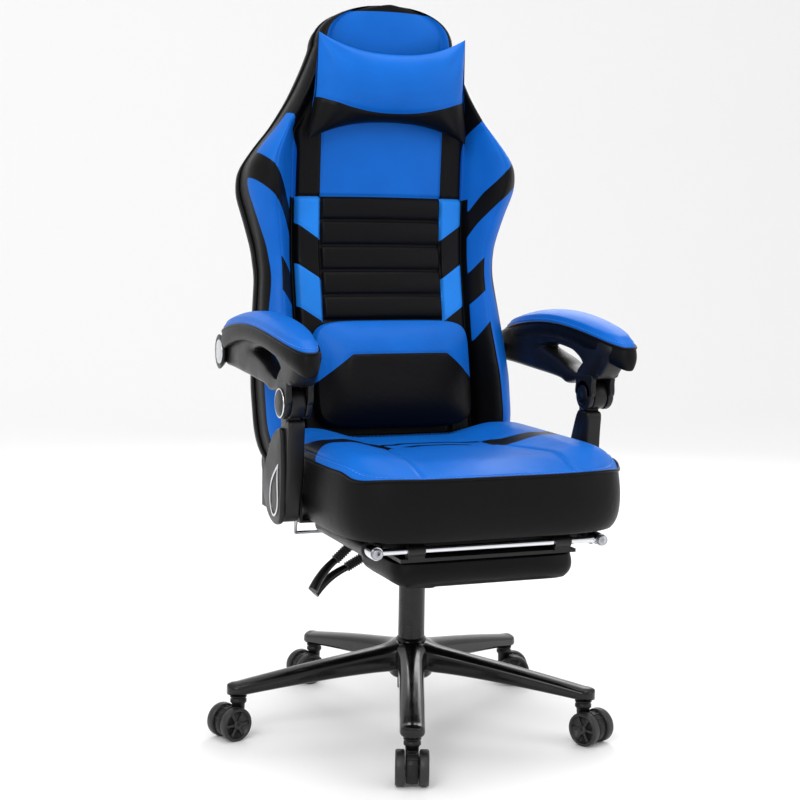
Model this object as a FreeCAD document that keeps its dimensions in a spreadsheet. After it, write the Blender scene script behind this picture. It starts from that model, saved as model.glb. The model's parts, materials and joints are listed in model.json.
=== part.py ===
import FreeCAD, Part, Sketcher
import math
import os
from FreeCAD import Placement, Rotation, Vector

# A reclining chair on casters with a gas lift, linked armrests and a pull-out footrest.
# Millimetres. The lift's axis is Z, the floor is z = 0 and the sitter faces -Y.

os.makedirs("parts", exist_ok=True)
doc = FreeCAD.newDocument("gaming_chair")

DIMENSIONS = {
    # star base and casters
    "stem_circle": 334, "leg_count": 5, "leg_yaw": -111.2, "leg_under_tip": 80,
    "leg_tip_width": 42, "leg_tip_depth": 21, "leg_root_width": 46, "leg_root_depth": 45,
    "hub_radius": 40, "hub_top": 139, "hub_bottom": 90,
    "wheel_radius": 31, "wheel_width": 17, "wheel_recess": 4, "wheel_gap": 24,
    "caster_trail": 20, "caster_neck_radius": 15, "caster_core_radius": 27,
    "stem_radius": 5.5, "stem_depth": 15, "axle_radius": 3,
    # gas lift
    "tube_radius": 25, "tube_wall": 2, "tube_bottom": 68, "tube_top": 282, "bushing_length": 45,
    "inner_radius": 14, "inner_wall": 2, "inner_bottom": 96, "inner_top": 352,
    "rod_radius": 5, "piston_height": 252, "piston_thickness": 12,
    # tilt mechanism
    "box_half_width": 45, "box_front": -92, "box_back": 40, "box_bottom": 335, "box_top": 369,
    "box_wall": 5, "socket_radius": 23, "socket_bottom": 302,
    "tilt_y": -60, "tilt_z": 376, "tilt_ear_radius": 10, "tilt_pin_radius": 5,
    "plate_half": 100, "plate_bottom": 391, "plate_thickness": 5,
    "knob_y": -72, "knob_radius": 19, "knob_bottom": 278, "knob_top": 316, "screw_radius": 5,
    "lever_radius": 4.5, "lever_up": 20, "height_lever_y": -14, "tilt_lever_y": 26,
    "bolt_spot": 86, "bolt_radius": 4, "bolt_length": 24, "bolt_head_radius": 7, "bolt_head": 5,
    # seat
    "seat_half_width": 262, "seat_front": -400, "seat_back": 112, "seat_under": 428,
    "seat_top_front": 540, "seat_top_back": 546, "seat_lip_set_back": 50, "seat_board": 12,
    "frame_half_width": 178, "frame_front": -320, "frame_back": 180, "frame_tube": 28,
    "frame_bottom": 396, "board_half_width": 235, "release_y": -50, "release_drop": 7, "release_radius": 3,
    # footrest
    "slide_x": 207, "slide_z": 408, "slide_radius": 11, "slide_wall": 1.5, "slide_front": -356,
    "slide_back": 90, "guide_radius": 14, "guide_front": -320, "guide_back": -80,
    "crossbar_radius": 6, "crossbar_y": -346, "end_cap_radius": 13, "end_cap_thickness": 5,
    "knuckle_radius": 10, "knuckle_length": 30, "knuckle_x": 120,
    "rest_half_width": 170, "rest_front": -352, "rest_back": -146, "rest_bottom": 341,
    "rest_board_top": 394, "rest_board": 6,
    # back
    "lean": 11.4, "back_y": 117, "back_z": 500, "back_length": 850, "back_skirt": 25,
    "bow_start": 380, "bow_depth": 125,
    "waist_half_width": 236, "hip_half_width": 255, "shoulder_half_width": 278,
    "head_half_width": 150, "pad_thickness": 38, "wing_depth": 96, "wing_inner": 165,
    "back_tube": 22, "back_tube_half_width": 220, "cover_thickness": 20, "layer_gap": 0.5,
    "recline_y": 185, "recline_z": 480, "recline_plate": 6, "recline_plate_x": 229,
    "recline_pin_radius": 8, "recline_boss_radius": 25,
    "lumbar_half_width": 152, "lumbar_bottom": 64, "lumbar_top": 250, "lumbar_depth": 74,
    "pillow_half_width": 158, "pillow_bottom": 600, "pillow_top": 790, "pillow_depth": 72,
    "strap_width": 30, "strap_thickness": 2,
    # arms
    "arm_inner": 264, "arm_outer": 314, "arm_middle": 289, "arm_pad_inner": 260, "arm_pad_outer": 334,
    "rear_pivot_y": 206, "rear_pivot_z": 696, "rear_boss_radius": 25, "rear_flare": 8,
    "front_pivot_y": -164, "front_pivot_z": 638, "drum_radius": 28, "barrel_half_width": 13,
    "arm_pin_radius": 7, "arm_cap_radius": 26, "arm_cap_thickness": 4,
    "post_half_width": 20, "post_pivot_y": -115, "post_pivot_z": 452, "post_pin_radius": 6,
    "post_pin_play": 4.5, "bracket_thickness": 4,
    # fits
    "running_fit": 0.05, "clearance": 0.5,
}

sheet = doc.addObject("Spreadsheet::Sheet", "dims")
for row, (alias, value) in enumerate(DIMENSIONS.items(), start=1):
    sheet.set("A%d" % row, alias)
    sheet.set("B%d" % row, str(value))
    sheet.setAlias("B%d" % row, alias)
doc.recompute()

PARTS = []
AXES = {
    "x": Rotation(Vector(0, 0, 1), Vector(1, 0, 0)),
    "y": Rotation(Vector(0, 0, 1), Vector(0, 1, 0)),
    "z": Rotation(),
}


def size(alias):
    """A driving dimension, read back from the sheet."""
    return float(sheet.get(alias))


def formula(text):
    """The text with every word that is a dimension turned into a reference to the sheet."""
    words = sorted(DIMENSIONS, key=len, reverse=True)
    out = ""
    word = ""
    for letter in str(text) + " ":
        if letter.isalnum() or letter == "_":
            word += letter
            continue
        out += ("dims." + word if word in words else word) + letter
        word = ""
    return out.strip()


def bind(item, **sizes):
    for prop, text in sizes.items():
        item.setExpression(prop.replace("__", "."), formula(text))
    return item


def place(item, x="0", y="0", z="0", turn=None):
    """Sets the placement: the turn as given, the position by expressions on the sheet."""
    item.Placement = Placement(Vector(), turn or Rotation())
    return bind(item, Placement__Base__x=x, Placement__Base__y=y, Placement__Base__z=z)


def block(name, x, y, z):
    """A box between two formulas along each axis."""
    item = doc.addObject("Part::Box", name)
    lengths = ["(%s) - (%s)" % (high, low) for low, high in (x, y, z)]
    bind(item, Length=lengths[0], Width=lengths[1], Height=lengths[2])
    return place(item, x[0], y[0], z[0])


def rod(name, radius, start, end, across=("0", "0"), axis="z"):
    """A cylinder along an axis from start to end, across the other two at the given place."""
    item = doc.addObject("Part::Cylinder", name)
    bind(item, Radius=radius, Height="(%s) - (%s)" % (end, start))
    spots = {"x": (start,) + across, "y": (across[0], start, across[1]), "z": across + (start,)}
    return place(item, *spots[axis], turn=AXES[axis])


def fused(name, items):
    item = doc.addObject("Part::MultiFuse", name)
    item.Shapes = items
    return item


def cut(name, base, tools):
    item = doc.addObject("Part::Cut", name)
    item.Base = base
    item.Tool = tools[0] if len(tools) == 1 else fused(name + "_tools", tools)
    return item


def shaped(name, shape):
    """A solid that Part's own functions made, from sizes read off the sheet."""
    item = doc.addObject("Part::Feature", name)
    item.Shape = shape
    return item


def part(item, node):
    """Names an object as a finished sub-part."""
    item.Label = node
    PARTS.append(item)
    return item


def sketch_body(name, role, offset=None):
    body = doc.addObject("PartDesign::Body", name + "_body")
    sketch = body.newObject("Sketcher::SketchObject", name + "_sketch")
    planes = {plane.Role: plane for plane in body.Origin.OriginFeatures}
    sketch.AttachmentSupport = [(planes[role], "")]
    sketch.MapMode = "FlatFace"
    if offset:
        sketch.setExpression("AttachmentOffset.Base.z", formula(offset))
    return body, sketch


def outline(sketch, corners):
    """A closed outline of straight lines, each corner tied to the sheet by two formulas."""
    count = len(corners)
    first = sketch.GeometryCount
    for index in range(count):
        here, there = Vector(index, index % 3, 0), Vector(index + 1, (index + 1) % 3, 0)
        sketch.addGeometry(Part.LineSegment(here, there), False)
    for index, (across, up) in enumerate(corners):
        line = first + index
        after = first + (index + 1) % count
        sketch.addConstraint(Sketcher.Constraint("Coincident", line, 2, after, 1))
        for kind, text in (("DistanceX", across), ("DistanceY", up)):
            number = sketch.addConstraint(Sketcher.Constraint(kind, -1, 1, line, 1, 1.0))
            sketch.setExpression("Constraints[%d]" % number, formula(text))


def turned(name, corners, role="XZ_Plane"):
    """A solid of revolution about the sketch's vertical axis."""
    body, sketch = sketch_body(name, role)
    outline(sketch, corners)
    turn = body.newObject("PartDesign::Revolution", name + "_turn")
    turn.Profile = sketch
    turn.ReferenceAxis = (sketch, ["V_Axis"])
    turn.Angle = 360
    sketch.Visibility = False
    return body


def padded(name, role, corners, length, offset="0"):
    """A straight pad of an outline, from the offset along the sketch's normal."""
    body, sketch = sketch_body(name, role, offset)
    outline(sketch, corners)
    pad = body.newObject("PartDesign::Pad", name + "_pad")
    pad.Profile = sketch
    pad.setExpression("Length", formula(length))
    sketch.Visibility = False
    return body


def mirrored(item, name):
    """The left-hand twin of a right-hand piece."""
    twin = doc.addObject("Part::Mirroring", name)
    twin.Source = item
    twin.Normal = Vector(1, 0, 0)
    return twin


def tapered(points, radii):
    """A round bar along the points, with a radius at each of them."""
    rings = []
    for index, point in enumerate(points):
        before = points[max(index - 1, 0)]
        after = points[min(index + 1, len(points) - 1)]
        rings.append(Part.Wire(Part.makeCircle(radii[index], point, after - before)))
    return Part.makeLoft(rings, True, False)


def tilted(item):
    """Lays a piece that was drawn in the back's own axes onto the leaning back."""
    item.Placement = BACK
    return item


# ---------------------------------------------------------------- star base and casters

def leg_angles():
    count = int(size("leg_count"))
    return [size("leg_yaw") + number * 360 / count for number in range(count)]


def leg_section(run):
    """A rounded section of a leg, run from 0 at the hub to 1 at the tip."""
    top = size("hub_top") - (size("hub_top") - leg_tip_top()) * run ** 1.6
    width = size("leg_root_width") + (size("leg_tip_width") - size("leg_root_width")) * run
    depth = size("leg_root_depth") + (size("leg_tip_depth") - size("leg_root_depth")) * run
    reach = run * size("stem_circle")
    points = []
    for step in range(16):
        angle = 2 * math.pi * step / 16
        side, rise = math.cos(angle), math.sin(angle)
        points.append((
            reach,
            width / 2 * math.copysign(abs(side) ** 0.6, side),
            top - depth / 2 + depth / 2 * math.copysign(abs(rise) ** 0.6, rise),
        ))
    curve = Part.BSplineCurve()
    curve.interpolate([Vector(*point) for point in points], PeriodicFlag=True)
    return Part.Wire(curve.toShape())


def leg_tip_top():
    return size("leg_under_tip") + size("leg_tip_depth")


def largest(shape):
    """The one real solid of a cut; cuts through a loft's edge leave empty slivers beside it."""
    return max(shape.Solids, key=lambda solid: solid.Volume)


def star_base():
    arch = Part.makeLoft([leg_section(run) for run in (0.03, 0.25, 0.5, 0.75, 1.0)], True, False)
    tip = Part.makeCylinder(
        size("leg_tip_width") / 2, size("leg_tip_depth"),
        Vector(size("stem_circle"), 0, size("leg_under_tip")))
    leg = arch.fuse(tip)
    solid = Part.makeCylinder(
        size("hub_radius"), size("hub_top") - size("hub_bottom"), Vector(0, 0, size("hub_bottom")))
    for angle in leg_angles():
        turned_leg = leg.copy()
        turned_leg.rotate(Vector(), Vector(0, 0, 1), angle)
        solid = solid.fuse(turned_leg)
    bore = Part.makeCylinder(size("tube_radius"), 2 * size("hub_top"))
    solid = solid.cut(bore)
    for angle in leg_angles():
        stem = Part.makeCylinder(
            size("stem_radius"), size("stem_depth"),
            stem_spot(angle) + Vector(0, 0, size("leg_under_tip")))
        solid = solid.cut(stem)
    part(shaped("star", largest(solid)), "star_base")


def stem_spot(angle):
    turn = math.radians(angle)
    return Vector(math.cos(turn), math.sin(turn), 0) * size("stem_circle")


def stem_foot():
    """How low the caster stems reach inside the casters."""
    return size("wheel_radius") + size("caster_core_radius") - 8


def caster_stems():
    solids = []
    for angle in leg_angles():
        pin = Part.makeCylinder(
            size("stem_radius"), size("leg_under_tip") + size("stem_depth") - stem_foot(),
            stem_spot(angle) + Vector(0, 0, stem_foot()))
        solids.append(pin)
    part(shaped("stems", Part.makeCompound(solids)), "caster_stems")


# which way each caster trails behind its stem, degrees from +X
TRAILS = (-111, -66, -20, 190, 200)


def caster_masters():
    """The four pieces of a twin-wheel caster, its stem at the origin and its trail along +X."""
    hub = ("caster_trail", "wheel_radius")
    low, high = "-wheel_gap / 2 + clearance", "wheel_gap / 2 - clearance"
    core = rod("caster_core", "caster_core_radius", low, high, hub, axis="y")
    neck = rod("caster_neck", "caster_neck_radius", "2 * wheel_radius + 3", "leg_under_tip - 3")
    web = block("caster_web", ("-caster_neck_radius", "caster_trail"), (low, high),
                ("wheel_radius", "2 * wheel_radius + 4"))
    bore = rod("caster_bore", "stem_radius + running_fit", "wheel_radius + caster_core_radius - 9", "leg_under_tip")
    axle_bore = rod("caster_axle_bore", "axle_radius", "-wheel_gap", "wheel_gap", hub, axis="y")
    housing = cut("caster_housing", fused("caster_lump", [core, neck, web]), [bore, axle_bore])
    reach = "(wheel_gap / 2 + wheel_width - wheel_recess)"
    axle = rod("caster_axle", "axle_radius", "-" + reach, reach, hub, axis="y")
    wheel = turned("caster_wheel", (
        ("axle_radius + running_fit", "wheel_gap / 2"),
        ("wheel_radius - 2", "wheel_gap / 2"),
        ("wheel_radius", "wheel_gap / 2 + 2"),
        ("wheel_radius", "wheel_gap / 2 + wheel_width - 2"),
        ("wheel_radius - 2", "wheel_gap / 2 + wheel_width"),
        ("wheel_radius - 7", "wheel_gap / 2 + wheel_width"),
        ("wheel_radius - 9", "wheel_gap / 2 + wheel_width - wheel_recess"),
        ("axle_radius + running_fit", "wheel_gap / 2 + wheel_width - wheel_recess"),
    ))
    centre = Vector(size("caster_trail"), 0, size("wheel_radius"))
    masters = {"housing": (housing, Placement()), "axle": (axle, Placement())}
    for side, way in (("right", -1), ("left", 1)):
        turn = Rotation(Vector(0, 0, 1), Vector(0, way, 0))
        masters["wheel_" + side] = (wheel, Placement(centre, turn))
    return masters


def casters():
    masters = caster_masters()
    for number, angle in enumerate(leg_angles(), start=1):
        trail = TRAILS[(number - 1) % len(TRAILS)]
        spot = Placement(stem_spot(angle), Rotation(Vector(0, 0, 1), trail))
        for piece, (master, pose) in masters.items():
            name = "caster_%d_%s" % (number, piece)
            copy = doc.addObject("Part::Compound", name + "_placed")
            copy.Links = [master]
            copy.Placement = spot.multiply(pose)
            part(copy, name)


# ---------------------------------------------------------------- gas lift

def gas_lift():
    part(turned("outer_tube", (
        ("rod_radius", "tube_bottom"),
        ("tube_radius", "tube_bottom"),
        ("tube_radius", "tube_top"),
        ("tube_radius - tube_wall", "tube_top"),
        ("tube_radius - tube_wall", "tube_bottom + 4"),
        ("rod_radius", "tube_bottom + 4"),
    )), "gas_lift_tube")
    part(turned("bushing", (
        ("inner_radius + running_fit", "tube_top - bushing_length"),
        ("tube_radius - tube_wall", "tube_top - bushing_length"),
        ("tube_radius - tube_wall", "tube_top"),
        ("tube_radius - 1", "tube_top"),
        ("tube_radius - 1", "tube_top + 4"),
        ("inner_radius + running_fit", "tube_top + 4"),
    )), "gas_lift_bushing")
    part(turned("piston_rod", (
        ("0", "tube_bottom - 3"),
        ("rod_radius + 4", "tube_bottom - 3"),
        ("rod_radius + 4", "tube_bottom"),
        ("rod_radius", "tube_bottom"),
        ("rod_radius", "piston_height"),
        ("inner_radius - inner_wall - running_fit", "piston_height"),
        ("inner_radius - inner_wall - running_fit", "piston_height + piston_thickness"),
        ("0", "piston_height + piston_thickness"),
    )), "gas_piston_rod")
    part(turned("inner_tube", (
        ("rod_radius + running_fit", "inner_bottom"),
        ("inner_radius", "inner_bottom"),
        ("inner_radius", "inner_top"),
        ("0", "inner_top"),
        ("0", "inner_top - 10"),
        ("inner_radius - inner_wall", "inner_top - 10"),
        ("inner_radius - inner_wall", "inner_bottom + 10"),
        ("rod_radius + running_fit", "inner_bottom + 10"),
    )), "gas_inner_cylinder")


# ---------------------------------------------------------------- tilt mechanism

def mechanism():
    wall = "box_wall"
    shell = block("mech_shell", ("-box_half_width", "box_half_width"), ("box_front", "box_back"),
                  ("box_bottom", "box_top"))
    hollow = block("mech_hollow", ("-box_half_width + " + wall, "box_half_width - " + wall),
                   ("box_front + " + wall, "-socket_radius - 1"),
                   ("box_bottom + " + wall, "box_top + 1"))
    socket = rod("mech_socket", "socket_radius", "socket_bottom", "box_top - 2")
    bore = rod("mech_bore", "inner_radius + running_fit", "socket_bottom - 1", "inner_top + clearance")
    ears = rod("mech_ears", "tilt_ear_radius", "-box_half_width", "box_half_width",
               ("tilt_y", "tilt_z"), axis="x")
    stand = block("mech_stand", ("-box_half_width", "box_half_width"),
                  ("tilt_y - tilt_ear_radius", "tilt_y + tilt_ear_radius"), ("box_bottom", "tilt_z"))
    gap = block("mech_gap", ("-box_half_width + 12", "box_half_width - 12"),
                ("box_front + " + wall, "-socket_radius - 1"), ("box_bottom + " + wall, "tilt_z + 20"))
    pin_bore = rod("mech_pin_bore", "tilt_pin_radius + running_fit", "-box_half_width - 1",
                   "box_half_width + 1", ("tilt_y", "tilt_z"), axis="x")
    screw_bore = rod("mech_screw_bore", "screw_radius + running_fit", "box_bottom - 1",
                     "box_bottom + box_wall + 1", ("0", "knob_y"))
    screw_bore.setExpression("Placement.Base.x", "0")
    screw_bore.setExpression("Placement.Base.y", formula("knob_y"))
    screw_bore.setExpression("Placement.Base.z", formula("box_bottom - 1"))
    lever_bores = []
    for lever_name, spot in (("height", ("height_lever_y", "box_bottom + lever_up")),
                             ("tilt", ("tilt_lever_y", "box_bottom + box_wall + lever_radius + 1"))):
        lever_bores.append(rod(lever_name + "_bore", "lever_radius + running_fit", "-box_half_width - 1", "-box_half_width + 9", spot, axis="x"))
    base = cut("mech_pan", shell, [hollow])
    part(cut("mech", fused("mech_lump", [base, socket, ears, stand]),
             [gap, bore, pin_bore, screw_bore] + lever_bores), "mechanism_housing")

    plate = block("tilt_plate_top", ("-plate_half", "plate_half"), ("-plate_half", "plate_half"),
                  ("plate_bottom", "plate_bottom + plate_thickness"))
    flanges = []
    for side, low in (("left", "box_half_width + clearance"), ("right", "-box_half_width - clearance - 5")):
        flanges.append(block("tilt_flange_" + side, (low, low + " + 5"),
                             ("tilt_y - tilt_ear_radius", "tilt_y + tilt_ear_radius"),
                             ("tilt_z - tilt_ear_radius", "plate_bottom + 1")))
    pin = rod("tilt_pin", "tilt_pin_radius", "-box_half_width - 7", "box_half_width + 7",
              ("tilt_y", "tilt_z"), axis="x")
    part(cut("tilt_plate_cut", fused("tilt_plate_welded", [plate, pin] + flanges), bolt_shanks("plate")),
         "tilt_plate")
    part(compound("bolts", bolts()), "mechanism_bolts")

    part(turned("knob", (
        ("0", "knob_bottom"),
        ("knob_radius - 3", "knob_bottom"),
        ("knob_radius", "knob_bottom + 4"),
        ("knob_radius - 2", "knob_top"),
        ("screw_radius", "knob_top"),
        ("screw_radius", "box_bottom + box_wall + 6"),
        ("0", "box_bottom + box_wall + 6"),
    )), "tension_knob")
    PARTS[-1].Placement = Placement(Vector(0, size("knob_y"), 0), Rotation())


def bolt_shanks(use):
    """The four bolts' shanks, from under the plate up into the seat frame's cross bars."""
    shanks = []
    for number, (across, along) in enumerate(((1, 1), (1, -1), (-1, 1), (-1, -1)), start=1):
        shank = doc.addObject("Part::Cylinder", "bolt_%s_%d" % (use, number))
        bind(shank, Radius="bolt_radius", Height="bolt_length")
        place(shank, "%d * bolt_spot" % across, "%d * bolt_spot" % along, "plate_bottom - 0.01")
        shanks.append(shank)
    return shanks


def bolts():
    whole = []
    for number, shank in enumerate(bolt_shanks("own"), start=1):
        head = doc.addObject("Part::Cylinder", "bolt_head_%d" % number)
        bind(head, Radius="bolt_head_radius", Height="bolt_head")
        across, along = ((1, 1), (1, -1), (-1, 1), (-1, -1))[number - 1]
        place(head, "%d * bolt_spot" % across, "%d * bolt_spot" % along, "plate_bottom - bolt_head")
        whole.append(fused("bolt_whole_%d" % number, [shank, head]))
    return whole


def lever(name, start, knee, elbow, end):
    """A control lever: a steel rod in a corrugated boot, ending in a curved flat paddle."""
    radius = size("lever_radius")
    straight = 18
    reach = Part.makeCylinder(radius, straight + 2, start, Vector(-1, 0, 0))
    bar = reach.fuse(tapered([start + Vector(-straight, 0, 0), knee, elbow], [radius] * 3))
    sag = (elbow + end) * 0.5 + Vector(0, 0, 6)
    paddle = tapered([elbow + (knee - elbow) * 0.1, sag, end], [7, 8, 9.5])
    bar = bar.fuse(paddle)
    part(shaped(name + "_bar", bar), name)
    count = 8
    step = (elbow - knee) * (0.86 / count)
    folds = None
    for fold in range(count):
        at = knee + step * fold
        ring = Part.makeCone(7.5, 10, step.Length / 2, at, step)
        ring = ring.fuse(Part.makeCone(10, 7.5, step.Length / 2, at + step * 0.5, step))
        folds = ring if folds is None else folds.fuse(ring)
    part(shaped(name + "_folds", largest(folds.cut(bar))), name + "_boot")


def levers():
    """Two levers in the mechanism's side, one for height and one for the tilt lock."""
    side = -size("box_half_width")
    height_up = size("box_bottom") + size("lever_up")
    tilt_up = size("box_bottom") + size("box_wall") + size("lever_radius") + 1
    lever("height_lever", Vector(side + 8, size("height_lever_y"), height_up),
          Vector(-132, size("height_lever_y") - 2, height_up - 4),
          Vector(-166, size("height_lever_y") - 6, height_up - 32),
          Vector(-212, size("height_lever_y") - 30, height_up - 76))
    lever("tilt_lever", Vector(side + 8, size("tilt_lever_y"), tilt_up),
          Vector(-92, size("tilt_lever_y") + 2, tilt_up - 28),
          Vector(-128, size("tilt_lever_y") + 1, tilt_up - 47),
          Vector(-188, size("tilt_lever_y") - 8, tilt_up - 88))


def recline_release():
    """The bent wire under the seat that frees the backrest's catches."""
    y, z = size("release_y"), size("frame_bottom") - size("release_drop")
    inner = -size("frame_half_width") + 16
    outer = -max(size("seat_half_width") - 14, size("slide_x") + 24)
    wire = size("release_radius")
    bar = Part.makeCylinder(wire, inner - outer, Vector(outer, y, z), Vector(1, 0, 0))
    hook = tapered([Vector(outer, y, z), Vector(outer - 4, y - 12, z + 14),
                    Vector(outer - 4, y - 16, z + 28)], [wire, wire, wire * 1.4])
    part(shaped("release_wire", bar.fuse(hook)), "recline_release")


# ---------------------------------------------------------------- seat

def seat():
    tube = "frame_tube"
    top = "frame_bottom + frame_tube"
    levels = ("frame_bottom", top)
    wide = ("-frame_half_width", "frame_half_width")
    bars = [
        block("frame_front_bar", wide, ("frame_front", "frame_front + " + tube), levels),
        block("frame_mid_front", wide, ("-plate_half", "-plate_half + " + tube), levels),
        block("frame_mid_back", wide, ("plate_half - " + tube, "plate_half"), levels),
        block("frame_rear_bar", ("-recline_plate_x", "recline_plate_x"),
              ("frame_back - " + tube, "frame_back"), levels),
    ]
    pins = []
    guides = []
    for side, sign in (("right", "-"), ("left", "")):
        def span(near, far):
            ends = ("%s(%s)" % (sign, near), "%s(%s)" % (sign, far))
            return ends if sign == "" else ends[::-1]
        bars.append(block("frame_side_" + side, span("frame_half_width - " + tube, "frame_half_width"),
                          ("frame_front", "frame_back"), levels))
        bars.append(block("arm_bracket_" + side, span("frame_half_width - 2", BRACKET_OUT),
                          ("post_pivot_y - 22", "post_pivot_y + 22"),
                          (top + " - 1", top + " - 1 + bracket_thickness")))
        bars.append(block("arm_upright_" + side,
                          span(BRACKET_OUT + " - bracket_thickness", BRACKET_OUT),
                          ("post_pivot_y - 22", "post_pivot_y + 22"),
                          (top + " - 1", "post_pivot_z + 18")))
        pin_ends = span(BRACKET_OUT + " - 1", BRACKET_OUT + " + 26")
        pins.append(rod("post_pin_" + side, "post_pin_radius", pin_ends[0], pin_ends[1],
                        ("post_pivot_y", "post_pivot_z"), axis="x"))
        plate_ends = span("recline_plate_x", "recline_plate_x + recline_plate")
        bars.append(block("recline_side_" + side, plate_ends,
                          ("recline_y - recline_boss_radius", "recline_y + 20"),
                          ("frame_bottom", "recline_z")))
        bars.append(rod("recline_round_" + side, "recline_boss_radius", plate_ends[0],
                        plate_ends[1], ("recline_y", "recline_z"), axis="x"))
        hinge_ends = span("recline_plate_x - recline_plate - 4", "recline_plate_x + recline_plate + 3")
        pins.append(rod("recline_pin_" + side, "recline_pin_radius", hinge_ends[0],
                        hinge_ends[1], ("recline_y", "recline_z"), axis="x"))
        guide = rod("guide_" + side, "guide_radius", "guide_front", "guide_back",
                    ("%sslide_x" % sign, "slide_z"), axis="y")
        guide_bore = rod("guide_bore_" + side, "slide_radius + running_fit", "guide_front - 1",
                         "guide_back + 1", ("%sslide_x" % sign, "slide_z"), axis="y")
        guides.append(cut("guide_tube_" + side, guide, [guide_bore]))
        for number, spot in enumerate(("guide_front + 20", "guide_back - 40"), start=1):
            bars.append(block("guide_tab_%s_%d" % (side, number),
                              span("frame_half_width - 1", "slide_x - guide_radius"),
                              (spot, spot + " + 20"), ("slide_z - 4", "slide_z + 4")))
    part(cut("seat_frame_drilled", fused("seat_frame_welded", bars + pins), bolt_shanks("frame")),
         "seat_frame")
    part(compound("guides", guides), "footrest_guides")

    board = block("board", ("-board_half_width", "board_half_width"),
                  ("frame_front", "seat_back - 12"), ("seat_under + 1", "seat_under + 1 + seat_board"))
    part(board, "seat_board")
    cushion = padded("cushion", "YZ_Plane", (
        ("seat_front + seat_lip_set_back", "seat_under"),
        ("seat_back", "seat_under"),
        ("seat_back", "seat_top_back"),
        ("seat_front + 25", "seat_top_front + 6"),
        ("seat_front + 4", "seat_top_front - 14"),
        ("seat_front", "seat_under + 50"),
        ("seat_front + 12", "seat_under + 12"),
    ), "2 * seat_half_width", "-seat_half_width")
    room = block("board_room", ("-board_half_width", "board_half_width"),
                 ("frame_front", "seat_back - 12"), ("seat_under - 1", "seat_under + 1 + seat_board"))
    part(cut("cushion_cut", cushion, [room]), "seat_cushion")


BRACKET_OUT = "arm_middle - post_half_width - 1"


# ---------------------------------------------------------------- footrest

def footrest():
    tubes = []
    caps = []
    bar_hole = rod("bar_hole", "crossbar_radius", "-slide_x", "slide_x",
                   ("crossbar_y", "slide_z"), axis="x")
    for side, sign in (("right", "-"), ("left", "")):
        spot = ("%sslide_x" % sign, "slide_z")
        tube = rod("slide_" + side, "slide_radius", "slide_front", "slide_back", spot, axis="y")
        hollow = rod("slide_bore_" + side, "slide_radius - slide_wall", "slide_front - 1",
                     "slide_back + 1", spot, axis="y")
        tubes.append(cut("slide_tube_cut_" + side, tube, [hollow, bar_hole]))
        caps.append(rod("slide_cap_" + side, "end_cap_radius", "slide_front - end_cap_thickness",
                        "slide_front", spot, axis="y"))
    part(compound("slides", tubes), "footrest_slides")
    part(compound("caps", caps), "footrest_end_caps")
    part(rod("bar", "crossbar_radius", "-slide_x", "slide_x", ("crossbar_y", "slide_z"),
             axis="x"), "footrest_crossbar")

    board = block("rest_plate", ("-rest_half_width + 8", "rest_half_width - 8"),
                  ("rest_front + 4", "rest_back - 4"),
                  ("rest_board_top - rest_board", "rest_board_top"))
    lugs = [board]
    for side, start in (("right", "-knuckle_x - knuckle_length"), ("left", "knuckle_x")):
        end = start + " + knuckle_length"
        lugs.append(rod("knuckle_" + side, "knuckle_radius", start, end,
                        ("crossbar_y", "slide_z"), axis="x"))
        lugs.append(block("knuckle_web_" + side, (start, end),
                          ("crossbar_y - 5", "crossbar_y + knuckle_radius"),
                          ("rest_board_top - 1", "slide_z")))
    pivot = rod("knuckle_bore", "crossbar_radius + running_fit", "-slide_x", "slide_x",
                ("crossbar_y", "slide_z"), axis="x")
    part(cut("rest_board", fused("rest_board_lump", lugs), [pivot]), "footrest_board")
    part(block("rest_cushion", ("-rest_half_width", "rest_half_width"), ("rest_front", "rest_back"),
               ("rest_bottom", "rest_board_top - rest_board")), "footrest_cushion")


def compound(name, items):
    item = doc.addObject("Part::Compound", name)
    item.Links = items
    return item


# ---------------------------------------------------------------- back

def back_outline(inset=0.0, low=None):
    """Half the back's outline, from the hip to the crown, as across and up along the lean."""
    shares = (
        (0.00, size("hip_half_width") - 12), (0.07, size("hip_half_width")),
        (0.17, size("hip_half_width") + 2), (0.36, size("waist_half_width")),
        (0.46, size("waist_half_width") + 4), (0.53, size("shoulder_half_width") - 12),
        (0.60, size("shoulder_half_width")), (0.67, size("shoulder_half_width") - 16),
        (0.76, size("head_half_width") + 46), (0.86, size("head_half_width") + 4),
        (0.94, size("head_half_width") - 18), (0.985, size("head_half_width") - 58),
    )
    bottom = size("back_skirt") if low is None else low
    run = size("back_length") - bottom
    return [(across - inset, bottom + share * (run - inset)) for share, across in shares]


def bow(up):
    """How far the back has curved forward at a height along it."""
    start = size("bow_start")
    share = max(0.0, (up - start) / (size("back_length") - start))
    return size("bow_depth") * share ** 1.3


def bowed(front, rear):
    """A slab wider than the back, between two depths, that follows its forward bow."""
    wide = 2 * size("shoulder_half_width")
    foot = -60
    start = size("bow_start")
    step = (size("back_length") + 60 - start) / 7
    heights = [start + step * number for number in range(8)]
    edges = [Part.makeLine(Vector(-wide, front, foot), Vector(-wide, rear, foot))]
    for depth in (front, rear):
        edges.append(Part.makeLine(Vector(-wide, depth, foot), Vector(-wide, depth, start)))
        curve = Part.BSplineCurve()
        curve.interpolate([Vector(-wide, depth - bow(up), up) for up in heights])
        edges.append(curve.toShape())
    crown = heights[-1]
    edges.append(Part.makeLine(Vector(-wide, front - bow(crown), crown),
                               Vector(-wide, rear - bow(crown), crown)))
    return Part.Face(Part.Wire(Part.__sortEdges__(edges))).extrude(Vector(2 * wide, 0, 0))


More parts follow.
